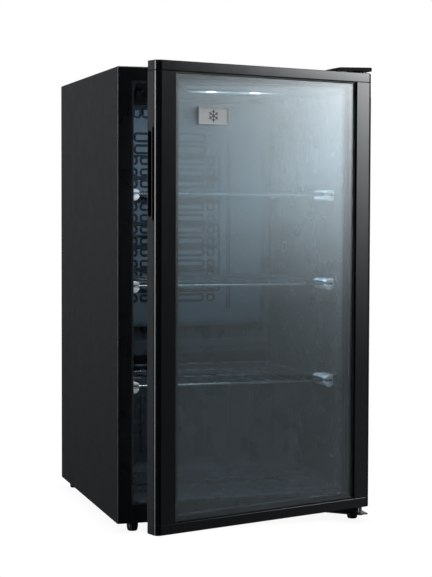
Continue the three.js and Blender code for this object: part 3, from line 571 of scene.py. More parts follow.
def buildWorld():
    world = bpy.data.worlds.new("studio")
    bpy.context.scene.world = world
    world.use_nodes = True
    tree = world.node_tree
    dim = tree.nodes["Background"]
    dim.inputs["Color"].default_value = (*studio["airColour"], 1)
    # dark in front of the door, paler behind the cabinet and towards the top
    axes = tree.nodes.new("ShaderNodeSeparateXYZ")
    tree.links.new(tree.nodes.new("ShaderNodeTexCoord").outputs["Generated"], axes.inputs["Vector"])
    air = ranged(tree, axes.outputs["Y"], studio["frontAir"], studio["rearAir"], *studio["airTurn"])
    height = ranged(tree, axes.outputs["Z"], studio["lowShare"], 1, *studio["lowTurn"])
    tree.links.new(times(tree, air, height), dim.inputs["Strength"])
    bright = tree.nodes.new("ShaderNodeBackground")
    bright.inputs["Color"].default_value = (1, 1, 1, 1)
    bright.inputs["Strength"].default_value = studio["backdrop"]
    out = tree.nodes["World Output"]
    tree.links.new(seenOrNot(tree, dim.outputs[0], bright.outputs[0]), out.inputs["Surface"])


def buildFloor():
    bpy.ops.object.select_all(action="DESELECT")
    bpy.ops.mesh.primitive_plane_add(size=studio["floorSize"], location=(0, 0, -studio["floorDrop"]))
    floor = settle("studioFloor")
    material = bpy.data.materials.new("studioFloor")
    material.use_nodes = True
    tree = material.node_tree
    tree.nodes.remove(tree.nodes["Principled BSDF"])
    grey = tree.nodes.new("ShaderNodeBsdfDiffuse")
    grey.inputs["Color"].default_value = (*studio["floorShade"], 1)
    white = tree.nodes.new("ShaderNodeEmission")
    # painted contact shadow: the floor's white emission is dimmed by ambient occlusion close to the cabinet
    contact = tree.nodes.new("ShaderNodeAmbientOcclusion")
    contact.inputs["Distance"].default_value = studio["contactReach"]
    shade = ranged(tree, contact.outputs["AO"], 1 - studio["contactShade"], studio["contactBright"], 0, 1)
    tree.links.new(shade, white.inputs["Strength"])
    out = tree.nodes["Material Output"]
    tree.links.new(seenOrNot(tree, grey.outputs[0], white.outputs[0]), out.inputs["Surface"])
    floor.data.materials.append(material)
    floor.visible_glossy = False


# each softbox: place, width and height, what it faces, strength, and how it brightens across
# and upwards as (darkest share, power, from, to) in metres from its middle; "least" is its dimmest
softboxes = {
    "frontSoftbox": {"place": (2.036, -1.897, 0.4), "size": (1.6, 2.6), "faces": (0, -0.28, 0.4),
                     "least": 0.13, "glow": 18.5, "across": (0.1, 3.1, -0.38, 0.47),
                     "upward": (0.36, 4.8, -0.4, 0.85)},
    "leftStrip": {"place": (-2.6, -0.4, 0.6), "size": (0.8, 3.0), "faces": (0, -0.4, 0.6),
                  "least": 0, "glow": 10, "across": (1, 1, -1, 1), "upward": (0.25, 1, -1.06, 0.42)},
    "leftFill": {"place": (-2.2, 1.7, 0.7), "size": (1.0, 3.2), "faces": (-0.2, 0, 0.7),
                 "least": 0, "glow": 0.55, "across": (1, 1, -1, 1), "upward": (0.4, 1, -1.2, 0.4)},
}


def glowingCard(name, box):
    # a softbox that brightens across its cloth
    bpy.ops.object.select_all(action="DESELECT")
    bpy.ops.mesh.primitive_plane_add(size=1)
    card = bpy.context.active_object
    card.name = name
    card.data.transform(Matrix.Diagonal((*box["size"], 1, 1)))
    card.location = box["place"]
    card.rotation_euler = (Vector(box["faces"]) - Vector(box["place"])).to_track_quat("-Z", "Y").to_euler()
    material = bpy.data.materials.new(name)
    material.use_nodes = True
    tree = material.node_tree
    tree.nodes.remove(tree.nodes["Principled BSDF"])
    axes = tree.nodes.new("ShaderNodeSeparateXYZ")
    tree.links.new(tree.nodes.new("ShaderNodeTexCoord").outputs["Object"], axes.inputs["Vector"])
    shares = []
    for axis, way in (("X", "across"), ("Y", "upward")):
        darkest, power, start, end = box[way]
        shares.append(raised(tree, ranged(tree, axes.outputs[axis], darkest, 1, start, end), power))
    strength = ranged(tree, times(tree, *shares), box["least"], box["glow"], 0, 1)
    light = tree.nodes.new("ShaderNodeEmission")
    light.inputs["Color"].default_value = (*studio["clothColour"], 1)
    tree.links.new(strength, light.inputs["Strength"])
    tree.links.new(light.outputs[0], tree.nodes["Material Output"].inputs["Surface"])
    card.data.materials.append(material)
    card.visible_camera = False
    return card


def raised(tree, value, power):
    step = tree.nodes.new("ShaderNodeMath")
    step.operation = "POWER"
    step.inputs[1].default_value = power
    tree.links.new(value, step.inputs[0])
    return step.outputs[0]


def times(tree, value, factor):
    step = tree.nodes.new("ShaderNodeMath")
    step.operation = "MULTIPLY"
    tree.links.new(value, step.inputs[0])
    tree.links.new(factor, step.inputs[1])
    return step.outputs[0]


softLamps = {
    "overheadSoftbox": {"place": (0.1, -0.2, 2.9), "faces": (0, 0, 0.6), "size": (1.4, 1.4), "power": 30,
                        "colour": (1, 1, 1)},
    "rearSoftbox": {"place": (2.0, 2.4, 1.6), "faces": (0, 0.1, 0.5), "size": (1.2, 1.2), "power": 26,
                    "colour": (1, 1, 1)},
}
lampThrow = {"below": 0.002, "faces": (0, 0.22, 0.4), "size": (0.16, 0.012), "power": 5.0,
             "colour": (0.78, 0.9, 1.0)}


def softLamp(name, make):
    lamp = bpy.data.lights.new(name, "AREA")
    lamp.shape = "RECTANGLE"
    lamp.size, lamp.size_y = make["size"]
    lamp.energy = make["power"]
    lamp.color = make["colour"]
    holder = bpy.data.objects.new(name, lamp)
    holder.location = make["place"]
    aim = Vector(make["faces"]) - Vector(make["place"])
    holder.rotation_euler = aim.to_track_quat("-Z", "Y").to_euler()
    bpy.context.scene.collection.objects.link(holder)
    return holder


buildWorld()
buildFloor()
for name, box in softboxes.items():
    glowingCard(name, box)
for name, lamp in softLamps.items():
    softLamp(name, lamp)
# what the cabinet's own lamp throws on the shelves and the cold plate
lampLow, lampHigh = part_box("led_lens")
lampThrow["place"] = ((lampLow.x + lampHigh.x) / 2, (lampLow.y + lampHigh.y) / 2,
                      lampLow.z - lampThrow["below"])
ownLight = softLamp("lampThrow", lampThrow)
ownLight.visible_camera = False
ownLight.visible_transmission = False
ownLight.visible_glossy = False
print("studio lit")

# ---- cabinet shell ----
shell = {"flange": 25.4, "sheet": 1, "fold": 2.4, "mitre": 0.5, "seamLeast": 10}


def cabinetShell():
    low, high = cabinetBox("outer_shell")
    piece = block("cabinetShell", low, high)
    a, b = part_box("outer_shell")
    inset = shell["flange"] * mm
    isFront = lambda c, n: n.y < -0.9
    edit(piece, "FACE")
    for point, normal in (((a.x + inset, 0, 0), (1, 0, 0)), ((b.x - inset, 0, 0), (1, 0, 0)),
                          ((0, 0, b.z - inset), (0, 0, 1))):
        chooseFaces(piece, isFront)
        bpy.ops.mesh.bisect(plane_co=point, plane_no=normal)
    isOpening = lambda c, n: isFront(c, n) and a.x + inset < c.x < b.x - inset and c.z < b.z - inset
    chooseFaces(piece, lambda c, n: isOpening(c, n) or n.z < -0.9 or n.y > 0.9)
    bpy.ops.mesh.delete(type="FACE")
    for corner, way in ((a.x, 1), (b.x, -1)):
        chooseFaces(piece, lambda c, n: isFront(c, n) and abs(c.x - corner) < inset and c.z > b.z - inset)
        bpy.ops.mesh.bisect(plane_co=(corner, 0, b.z), plane_no=(way, 0, 1))
    # folded outer edges
    isFold = lambda p, q, e: (near(p.z, b.z) and near(q.z, b.z) and not near(p.y, b.y) or
                              near(p.y, a.y) and near(q.y, a.y) and near(p.x, q.x))
    roundEdges(piece, lambda p, q, e: len(e.link_faces) == 2 and e.calc_face_angle() > 1 and isFold(p, q, e),
               shell["fold"], 4)
    # mitre seams across the two upper corners
    isSeam = lambda p, q, e: (near(p.y, a.y) and near(q.y, a.y) and near(abs(p.x - q.x), abs(p.z - q.z))
                              and abs(p.x - q.x) > shell["seamLeast"] * mm)
    roundEdges(piece, isSeam, shell["mitre"], 2)
    done()
    pick(piece)
    bpy.ops.object.modifier_add(type="SOLIDIFY")
    wall = piece.modifiers[-1]
    wall.thickness = shell["sheet"] * mm
    wall.offset = -1
    bpy.ops.object.modifier_apply(modifier=wall.name)
    return flatten(smooth(piece))


fit(cabinetShell(), "cabinet", "black_steel", paint["cabinetPaint"], "outer_shell")
fit(refined("basePan", "base_pan", 0.5), "cabinet", "black_steel", paint["cabinetPaint"], "base_pan")
print("cabinet shell folded")

# ---- liner: one moulded tub with a step over the compressor ----
liner = {"wall": 1.5, "lip": 4.2, "stepFront": 290, "stepTop": baseZ + 217, "corner": 12, "stepFillet": 24,
         "noseRadius": 9, "rimBevel": 0.7, "buried": 0.8, "tubBevel": 0.5,
         "ledgeReach": 10, "ledgeStart": 50, "ledgeEnd": 8, "ledgeRise": 6, "ledgeBevel": 1.8,
         "ledgeGap": 0.5,
         "ribRise": 2.2, "ribWidth": 8, "stepRibPitch": 45.6, "stepRibLow": 99, "stepRibHigh": 214,
         "wallRibPitch": 45, "wallRibLow": 312, "wallRibHigh": 352, "ribShift": -3}


def linerHollow():
    low, high = cabinetBox("inner_liner")
    side = liner["lip"]
    a = Vector((low.x + side, low.y, low.z + side))
    b = Vector((high.x - side, high.y - liner["wall"], high.z - side))
    return a, b


hollowLow, hollowHigh = linerHollow()


def linerTub():
    a = hollowLow + Vector((0, liner["buried"], 0))  # its front edge is buried in the rim
    b = hollowHigh
    air = block("linerTub", a, b)
    step = block("step", (a.x - 5, liner["stepFront"], a.z - 5), (b.x + 5, b.y + 5, liner["stepTop"]))
    carve(air, step)
    p, q = spot(*a), spot(*b)
    stepY, stepZ = spot(0, liner["stepFront"], 0).y, liner["stepTop"] * mm
    edit(air, "FACE")
    chooseFaces(air, lambda c, n: n.y < -0.9 and near(c.y, p.y))
    bpy.ops.mesh.delete(type="FACE")
    roundEdges(air, lambda s, t, e: near(s.y, stepY) and near(t.y, stepY) and near(s.z, p.z)
               and near(t.z, p.z),
               liner["stepFillet"], 6)
    roundEdges(air, lambda s, t, e: near(s.y, stepY) and near(t.y, stepY) and near(s.z, stepZ)
               and near(t.z, stepZ),
               liner["noseRadius"], 4)
    roundEdges(air, lambda s, t, e: not e.is_boundary and e.calc_face_angle() > 1 and not along(s, t, "x")
               or not e.is_boundary and e.calc_face_angle() > 1 and near(s.y, q.y) and near(t.y, q.y),
               liner["corner"], 4)
    done()
    pick(air)
    bpy.ops.object.modifier_add(type="SOLIDIFY")
    wall = air.modifiers[-1]
    wall.thickness = liner["wall"] * mm
    wall.offset = 1
    bpy.ops.object.modifier_apply(modifier=wall.name)
    edit(air, "VERT")
    bpy.ops.mesh.select_all(action="SELECT")
    bpy.ops.mesh.normals_make_consistent(inside=False)
    done()
    return gather("linerTub", soften(air, liner["tubBevel"], 1, 50), linerRim())


def linerRim():
    # the square-cornered rim over the front flange, round the tub's rounded mouth
    a, b = hollowLow, hollowHigh
    lip, depth = liner["lip"], liner["wall"]
    rim = block("linerRim", (a.x - lip, a.y, a.z - lip), (b.x + lip, a.y + depth, b.z + lip))
    mouth = block("mouth", (a.x, a.y - 5, a.z), (b.x, a.y + 5, b.z))
    edit(mouth, "EDGE")
    roundEdges(mouth, lambda s, t, e: along(s, t, "y"), liner["corner"], 4)
    done()
    return soften(carve(rim, mouth), liner["rimBevel"], 3)


def pressedRib(name, x, y, low, high):
    # an upright rib pressed into a wall, with round ends
    half, rise = liner["ribWidth"] / 2, liner["ribRise"]
    rib = block(name, (x - half, y - rise, low), (x + half, y + 0.3, high))
    edit(rib, "EDGE")
    front = spot(0, y - rise, 0).y
    roundEdges(rib, lambda a, b, e: along(a, b, "y"), half * 0.98, 5)
    roundEdges(rib, lambda a, b, e: near(a.y, front) and near(b.y, front), rise * 0.8, 3)
    done()
    return smooth(rib)


def linerRibs():
    ribs = []
    for i in range(-4, 4):
        x = (i + 0.5) * liner["stepRibPitch"] + liner["ribShift"]
        ribs.append(pressedRib("rib", x, liner["stepFront"], liner["stepRibLow"], liner["stepRibHigh"]))
        x = (i + 0.5) * liner["wallRibPitch"] + liner["ribShift"]
        ribs.append(pressedRib("rib", x, hollowHigh.y, liner["wallRibLow"], liner["wallRibHigh"]))
    return gather("linerRibs", *ribs)


def shelfLedges():
    # small moulded rests for the back of each shelf
    parts = []
    for i in (1, 2, 3):
        low, high = cabinetBox(f"wire_shelf_{i}")
        top = low.z - liner["ledgeGap"]
        for side in (-1, 1):
            wall = side * hollowHigh.x
            inner = wall - side * liner["ledgeReach"]
            ledge = block("ledge", (min(wall, inner), high.y - liner["ledgeStart"], top - liner["ledgeRise"]),
                          (max(wall, inner), high.y - liner["ledgeEnd"], top))
            parts.append(soften(ledge, liner["ledgeBevel"], 3))
    return gather("shelfLedges", *parts)


fit(linerTub(), "cabinet", "liner", paint["linerPlastic"], "inner_liner")
fit(linerRibs(), "cabinet", "liner", paint["linerPlastic"])
fit(shelfLedges(), "cabinet", "liner", paint["linerPlastic"])
print("liner moulded")

# ---- evaporator: roll-bonded plate with raised channels ----
cold = {"channel": 5.2, "bend": 6, "middle": -13, "rowTop": 687, "rowPitch": 24, "rows": 13,
        "loopHalf": 68, "loopRise": 6.5, "cellAway": 84, "cellHalf": 7, "outerHalf": 103,
        "headerRows": (736, 711), "headerHalf": 76, "headerRise": 8, "headerShift": 5,
        "topCellZ": 787, "topCellPitch": 19, "topCellHalf": 7, "topCellRise": 9, "topCells": 15,
        "riser": 121, "riserGap": 5, "riserWire": 3, "nestGap": 2, "riserTop": 722, "riserLow": 373,
        "dotPitch": 21, "dotRadius": 2.6, "dotRise": 1.4, "dotRoot": 0.4, "dotDrop": 16,
        "dotTop": 577, "dots": 10, "dotColumns": (131, 153, -157),
        "holeRadius": 2.3, "edge": 0.5}


def evaporatorPanel():
    low, high = cabinetBox("evaporator_plate")
    face = low.y
    plate = block("evaporatorPanel", low, high)
    holes = [drum("hole", (cabinetMiddle(f"evaporator_screw_{side}").x, face,
                           cabinetMiddle(f"evaporator_screw_{side}").z), cold["holeRadius"], 8, "Y", 20)
             for side in ("left", "right")]
    carve(plate, *holes)
    soften(plate, cold["edge"], 2)

    def loop(x, z, half, rise):
        corners = [(x - half, face, z - rise), (x + half, face, z - rise),
                   (x + half, face, z + rise), (x - half, face, z + rise)]
        return wire("channel", corners, cold["channel"], cold["bend"], True)

    def bump(x, z):
        # a pressed dot: a low dome
        dome = block("dot", (x - cold["dotRadius"], face - cold["dotRise"], z - cold["dotRadius"]),
                     (x + cold["dotRadius"], face + cold["dotRoot"], z + cold["dotRadius"]))
        front = spot(0, face - cold["dotRise"], 0).y
        edit(dome, "EDGE")
        roundEdges(dome, lambda a, b, e: along(a, b, "y"), cold["dotRadius"] * 0.95, 3)
        roundEdges(dome, lambda a, b, e: near(a.y, front) and near(b.y, front), 1.0, 2)
        done()
        return smooth(dome)

    dots, parts = [plate], []
    middle = cold["middle"]
    for row in range(cold["rows"]):
        z = cold["rowTop"] - row * cold["rowPitch"]
        parts.append(loop(middle, z, cold["loopHalf"], cold["loopRise"]))
        for side in (-1, 1):
            parts.append(loop(middle + side * cold["cellAway"], z, cold["cellHalf"], cold["cellHalf"]))
        if row % 2 == 0 and row + 1 < cold["rows"]:
            rise = cold["rowPitch"] - cold["nestGap"]
            parts.append(loop(middle, z - cold["rowPitch"] / 2, cold["outerHalf"], rise))
    for z in cold["headerRows"]:
        parts.append(loop(middle - cold["headerShift"], z, cold["headerHalf"], cold["headerRise"]))
    for i in range(cold["topCells"]):
        x = middle + (i - cold["topCells"] // 2) * cold["topCellPitch"]
        parts.append(loop(x, cold["topCellZ"], cold["topCellHalf"], cold["topCellRise"]))
        dots.append(bump(x, cold["topCellZ"] - cold["dotDrop"]))
    for side in (-1, 1):
        for offset in (0, cold["riserGap"]):
            x = middle + side * (cold["riser"] + offset)
            parts.append(wire("riser", [(x, face, cold["riserLow"]), (x, face, cold["riserTop"])],
                              cold["riserWire"]))
    for x in cold["dotColumns"]:
        dots += [bump(x, cold["dotTop"] - i * cold["dotPitch"]) for i in range(cold["dots"])]
    return gather("evaporatorPanel", *dots), gather("evaporatorChannels", *parts)


def cabinetMiddle(node):
    low, high = cabinetBox(node)
    return (low + high) / 2


plateScrewMake = {"profile": [(0, 0), (1.8, 0), (1.8, 11.6), (4.5, 11.7), (4.4, 13.2), (3.2, 14.6),
                              (1.6, 15.2), (0, 15.3)],
                  "crossLong": 2.1, "crossThin": 0.45, "crossDepth": 1.3, "edge": 0.15}


def plateScrew(side):
    # pan-head screw with a cross recess
    low, high = cabinetBox(f"evaporator_screw_{side}")
    middle = (low + high) / 2
    front = low.y
    long, thin = plateScrewMake["crossLong"], plateScrewMake["crossThin"]
    head = spun(f"evaporatorScrew_{side}", (middle.x, high.y, middle.z),
                plateScrewMake["profile"], 28, "Y")
    slots = [block("cross", (middle.x - a, front - 2, middle.z - b),
                   (middle.x + a, front + plateScrewMake["crossDepth"], middle.z + b))
             for a, b in ((long, thin), (thin, long))]
    return soften(carve(head, *slots), plateScrewMake["edge"], 1)


panel, channels = evaporatorPanel()
fit(panel, "cabinet", "evaporator", paint["evaporatorPaint"], "evaporator_plate")
# the channels carry a painted shade, darker than the plate
fit(channels, "cabinet", "evaporator", paint["channelPaintedShade"])
for side in ("left", "right"):
    fit(plateScrew(side), "cabinet", "zinc_steel", paint["zincSteel"], f"evaporator_screw_{side}")
fit(refined("dripGutter", "drip_gutter", 0.7, 3), "cabinet", "liner", paint["linerPlastic"], "drip_gutter")
print("evaporator pressed")

# ---- shelves: welded wire, chromed ----
shelf = {"frameWire": 5, "crossWire": 3.4, "pitch": 36, "bars": 5, "corner": 9, "tieWire": 4,
         "ties": (0.36, 0.68), "weld": 0.5, "overhang": 1.2}


def wireShelf(number):
    low, high = cabinetBox(f"wire_shelf_{number}")
    z = (low.z + high.z) / 2
    half = shelf["frameWire"] / 2
    x, front, back = high.x - half, low.y + half, high.y - half
    parts = [wire("frame", [(-x, front, z), (x, front, z), (x, back, z), (-x, back, z)],
                  shelf["frameWire"], shelf["corner"], True, 4)]
    upper = z + half + shelf["crossWire"] / 2 - shelf["weld"]
    for bar in range(-shelf["bars"], shelf["bars"] + 1):
        at = bar * shelf["pitch"]
        run = [(at, front - shelf["overhang"], upper), (at, back + shelf["overhang"], upper)]
        parts.append(wire("bar", run, shelf["crossWire"], 0, False, 3))
    for share in shelf["ties"]:
        y = front + (back - front) * share
        parts.append(wire("tie", [(-x, y, z), (x, y, z)], shelf["tieWire"], 0, False, 3))
    return gather(f"wireShelf_{number}", *parts)


for number in (1, 2, 3):
    fit(wireShelf(number), f"shelf_{number}", "chrome_wire", paint["chromeWire"], f"wire_shelf_{number}")
    for side in ("left", "right"):
        node = f"shelf_support_{side}_{number}"
        fit(refined(f"shelfSupport_{side}_{number}", node, 1.0, 3), "cabinet", "white_plastic",
            paint["whitePlastic"], node)
print("shelves welded")

# ---- thermostat housing, knob, light switch and lamp ----
dial = {"ticks": 9, "tickRadius": 16.5, "sweep": 280, "tickHalf": 0.35, "tickInset": 1.2, "tickShort": 0.8,
        "tickGrowth": 0.12, "tickProud": 0.12, "tickSunk": 0.2, "tickEdge": 0.08,
        "flutes": 18, "fluteRadius": 1.2, "fluteInset": 1.9, "fluteLength": 12,
        "skirtHeight": 1.8, "skirtBreak": 2.5, "skirtTop": 3.2, "bodyInset": 2.8, "faceDip": 0.6,
        "pointerHalf": 0.8, "pointerFrom": 2, "pointerTo": 10, "pointerDepth": 1.2}


def controlHousing():
    return refined("controlHousing", "control_housing", 1.4, 4)


def dialMarks():
    # plain tick marks round the knob, longer towards the coldest setting
    low, high = cabinetBox("thermostat_knob")
    middle = (low + high) / 2
    face = cabinetBox("control_housing")[0].y
    marks = []
    for i in range(dial["ticks"]):
        angle = math.radians(-dial["sweep"] / 2 + i * dial["sweep"] / (dial["ticks"] - 1))
        long = dial["tickShort"] + dial["tickGrowth"] * i
        tip = middle.z + dial["tickRadius"] - dial["tickInset"]
        mark = block("mark", (middle.x - dial["tickHalf"], face - dial["tickProud"], tip - long),
                     (middle.x + dial["tickHalf"], face + dial["tickSunk"], tip))
        mark.data.transform(turnedAbout(spot(middle.x, face, middle.z), angle, "Y"))
        marks.append(soften(mark, dial["tickEdge"], 1))
    return gather("dialMarks", *marks)


def thermostatKnob():
    low, high = cabinetBox("thermostat_knob")
    middle = (low + high) / 2
    length = high.y - low.y
    radius = (high.x - low.x) / 2
    profile = [(0, 0), (radius, 0), (radius, dial["skirtHeight"]), (radius - 0.6, dial["skirtBreak"]),
               (radius - 2.2, dial["skirtTop"]), (radius - dial["bodyInset"], length - 1.4),
               (radius - 3.6, length - 0.4), (radius - 4.8, length), (0, length - dial["faceDip"])]
    knob = spun("thermostatKnob", (middle.x, high.y, middle.z), profile, 72, "Y")
    centre = spot(middle.x, 0, middle.z)
    cutters = []
    for i in range(dial["flutes"]):
        flute = drum("flute", (middle.x, low.y + 3, middle.z + radius - dial["fluteInset"]),
                     dial["fluteRadius"], dial["fluteLength"], "Y", 10)
        flute.data.transform(turnedAbout(centre, 2 * math.pi * (i + 0.5) / dial["flutes"], "Y"))
        cutters.append(flute)
    pointer = block("pointer", (middle.x - dial["pointerHalf"], low.y - 1, middle.z + dial["pointerFrom"]),
                    (middle.x + dial["pointerHalf"], low.y + dial["pointerDepth"],
                     middle.z + dial["pointerTo"]))
    carve(knob, gather("flutes", *cutters), pointer)
    return smooth(knob)


fit(controlHousing(), "cabinet", "black_plastic", paint["blackPlastic"], "control_housing")
fit(dialMarks(), "cabinet", "white_plastic", paint["whitePlastic"])
fit(thermostatKnob(), "dial", "black_plastic", paint["blackPlastic"], "thermostat_knob")
fit(refined("lightSwitch", "light_switch", 0.6, 3), "rocker", "black_plastic", paint["blackPlastic"],
    "light_switch")
fit(refined("lampBase", "led_base", 0.8, 3), "cabinet", "white_plastic", paint["whitePlastic"], "led_base")
fit(refined("lampLens", "led_lens", 0.4, 2), "cabinet", "lamp_lens", paint["lamp"], "led_lens")
print("controls and lamp fitted")

# ---- door ----
doorMake = {"corner": 10.5, "cornerSteps": 12, "edge": 0.7, "railEdge": 1.3,
            "gripLength": 146, "gripMiddle": topZ - 195, "gripDepth": 14, "gripWidth": 11, "gripBack": 1.5,
            "innerGap": 2.5, "innerWidth": 7, "innerDepth": 8.5, "innerExtra": 13,
            "roomSide": 0.5, "roomFront": 0.3, "boreRadius": 4.4, "boreDepth": 29,
            "strip": 3.2, "stripDepth": 2.6, "stripEdge": 0.8, "stripGap": 0.2, "paneEdge": 0.4,
            "frameWidth": 15, "frameEdge": 0.9, "spacerEdge": 0.5,
            "beadInset": 11, "beadWidth": 3, "beadSunk": 1.2, "beadProud": 0.9, "beadEdge": 0.7}
# the gasket's lips from front to back: where each starts and ends as a share of its depth, how far
# it is set in, and its width
gasketLips = ((0, 0.28, 1.2, 16), (0.24, 0.5, 3.4, 11), (0.46, 0.72, 1.8, 14), (0.68, 1, 0, 18))
gasketEdge = 0.9
frontOfDoor = closedBox("door_top_rail")[0].y
backOfDoor = closedBox("door_top_rail")[1].y
openingLow = Vector((closedBox("door_left_stile")[1].x, 0, closedBox("door_bottom_rail")[1].z))
openingHigh = Vector((closedBox("door_right_stile")[0].x, 0, closedBox("door_top_rail")[0].z))
glassLow = closedBox("outer_glass")[0]


def glassRoom():
    # what the panes, spacer and inner frame take out of the door's members
    low, high = closedBox("outer_glass")
    side, front = doorMake["roomSide"], doorMake["roomFront"]
    return block("room", (low.x - side, low.y - front, low.z - side),
                 (high.x + side, backOfDoor + 5, high.z + side))


def gripPocket(side, front, width, depth, length):
    outer = side * halfWidth
    inner = outer - side * depth
    middle = doorMake["gripMiddle"]
    x0, x1 = sorted((inner, outer + side * 3))
    pocket = block("pocket", (x0, front, middle - length / 2), (x1, front + width, middle + length / 2))
    edit(pocket, "EDGE")
    roundEdges(pocket, lambda a, b, e: along(a, b, "x"), width * 0.46, 5)
    done()
    return pocket


def doorStile(name, node, side):
    low, high = closedBox(node)
    stile = block(name, (low.x, frontOfDoor, low.z), (high.x, backOfDoor, high.z))
    outer = spot(side * halfWidth, 0, 0).x
    front = spot(0, frontOfDoor, 0).y
    edit(stile, "EDGE")
    roundEdges(stile, lambda a, b, e: along(a, b, "z") and near(a.x, outer) and near(a.y, front),
               doorMake["corner"], doorMake["cornerSteps"])
    done()
    first = backOfDoor - doorMake["gripBack"] - doorMake["gripWidth"]
    second = first - doorMake["innerGap"] - doorMake["innerWidth"]
    carve(stile, glassRoom(),
          gripPocket(side, first, doorMake["gripWidth"], doorMake["gripDepth"], doorMake["gripLength"]),
          gripPocket(side, second, doorMake["innerWidth"], doorMake["innerDepth"],
                     doorMake["gripLength"] + doorMake["innerExtra"]))
    return soften(stile, doorMake["edge"], 3)


def doorRail(name, node, outerZ):
    low, high = closedBox(node)
    rail = block(name, low, high)
    front = spot(0, frontOfDoor, 0).y
    edit(rail, "EDGE")
    roundEdges(rail, lambda a, b, e: along(a, b, "z") and near(a.y, front), doorMake["corner"],
               doorMake["cornerSteps"])
    done()
    hinge = drum("bore", ((hingeAt.x - middleX) / mm, (hingeAt.y - frontY) / mm, outerZ),
                 doorMake["boreRadius"], doorMake["boreDepth"], "Z", 28)
    carve(rail, glassRoom(), hinge)
    return soften(rail, doorMake["railEdge"], 3)


def glazingStrip():
    a, b = openingLow, openingHigh
    y = glassLow.y - doorMake["stripGap"]
    strip = ringBlock("glazingStrip", (a.x, y - doorMake["stripDepth"], a.z), (b.x, y, b.z),
                      doorMake["strip"])
    return soften(strip, doorMake["stripEdge"], 3)


def glassPane(name, node):
    low, high = closedBox(node)
    return soften(block(name, low, high), doorMake["paneEdge"], 2)


def spacerFrame():
    low, high = closedBox("glass_spacer")
    ring = ringBlock("spacerFrame", low, high, doorMake["frameWidth"])
    return soften(ring, doorMake["spacerEdge"], 2)


def innerFrame():
    # retainer that holds the inner pane, with a raised bead round its opening
    low, high = closedBox("door_inner_frame")
    inset = doorMake["beadInset"]
    ring = ringBlock("innerFrame", low, high, doorMake["frameWidth"])
    inner = ringBlock("bead", (low.x + inset, high.y - doorMake["beadSunk"], low.z + inset),
                      (high.x - inset, high.y + doorMake["beadProud"], high.z - inset), doorMake["beadWidth"])
    return gather("innerFrame", soften(ring, doorMake["frameEdge"], 3),
                  soften(inner, doorMake["beadEdge"], 3))


def doorGasket():
    # magnet strip in front, bellows behind, foot pushed into the inner frame
    low, high = closedBox("door_gasket")
    depth = high.y - low.y
    parts = []
    for start, end, inset, width in gasketLips:
        ring = ringBlock("lip", (low.x + inset, low.y + depth * start, low.z + inset),
                         (high.x - inset, low.y + depth * end, high.z - inset), width)
        parts.append(soften(ring, gasketEdge, 3))
    return gather("doorGasket", *parts)


badgeMake = {"bevel": 3.2, "sink": 1.1, "arm": 11, "thick": 0.6, "twig": 3.6, "forks": (5.8,), "lean": 55,
             "rim": 0.8, "edge": 0.3, "sunk": 0.5, "proud": 0.2, "armEdge": 0.2}


def badge():
    # a pressed plate: raised sloping border round a flat field
    low, high = closedBox("badge_plate")
    plate = block("badgePlate", low, high)
    edit(plate, "FACE")
    chooseFaces(plate, lambda c, n: n.y < -0.9)
    bpy.ops.mesh.inset(thickness=badgeMake["rim"] * mm)
    bpy.ops.mesh.inset(thickness=badgeMake["bevel"] * mm)
    bpy.ops.transform.translate(value=(0, badgeMake["sink"] * mm, 0))
    done()
    return soften(plate, badgeMake["edge"], 2, 12)


def badgeMark():
    # a plain snowflake
    low, high = closedBox("badge_plate")
    x, z, face = (low.x + high.x) / 2, (low.z + high.z) / 2, low.y + badgeMake["sink"]
    centre = spot(x, face, z)
    thick, twig = badgeMake["thick"], badgeMake["twig"]
    arms = []
    for turn in range(6):
        pieces = [(z, badgeMake["arm"], 0)]
        pieces += [(z + fork, twig, lean) for fork in badgeMake["forks"]
                   for lean in (-badgeMake["lean"], badgeMake["lean"])]
        for foot, length, lean in pieces:
            bar = block("bar", (x - thick, face - badgeMake["sunk"], foot),
                        (x + thick, face + badgeMake["proud"], foot + length))
            tilt = turnedAbout(spot(x, face, foot), math.radians(lean), "Y")
            swing = turnedAbout(centre, math.radians(60 * turn), "Y")
            bar.data.transform(swing @ tilt)
            arms.append(soften(bar, badgeMake["armEdge"], 1))
    return gather("badgeMark", *arms)


fit(doorStile("doorLeftStile", "door_left_stile", -1), "door", "door_frame", paint["doorPaint"],
    "door_left_stile")
fit(doorStile("doorRightStile", "door_right_stile", 1), "door", "door_frame", paint["doorPaint"],
    "door_right_stile")
fit(doorRail("doorTopRail", "door_top_rail", closedBox("door_top_rail")[1].z), "door", "door_frame",
    paint["doorPaint"], "door_top_rail")
fit(doorRail("doorBottomRail", "door_bottom_rail", closedBox("door_bottom_rail")[0].z), "door", "door_frame",
    paint["doorPaint"], "door_bottom_rail")
fit(glazingStrip(), "door", "black_plastic", paint["blackPlastic"])
for name, node in (("outerGlass", "outer_glass"), ("innerGlass", "inner_glass")):
    pane = fit(glassPane(name, node), "door", "glass", paint["glass"], node)
    pane.visible_shadow = False
fit(spacerFrame(), "door", "spacer", paint["spacerMetal"], "glass_spacer")
fit(innerFrame(), "door", "black_plastic", paint["blackPlastic"], "door_inner_frame")
fit(doorGasket(), "door", "gasket", paint["gasketRubber"], "door_gasket")
fit(badge(), "door", "badge", paint["badgeMetal"], "badge_plate")
fit(badgeMark(), "door", "badge", paint["badgeInk"])
print("door built")

# ---- hinges and feet ----
foot = {"padRadius": 8, "flutes": 12, "fluteRadius": 1.1, "fluteProud": 0.2, "stem": 4, "stemEdge": 0.6,
        "underBracket": 0.3}


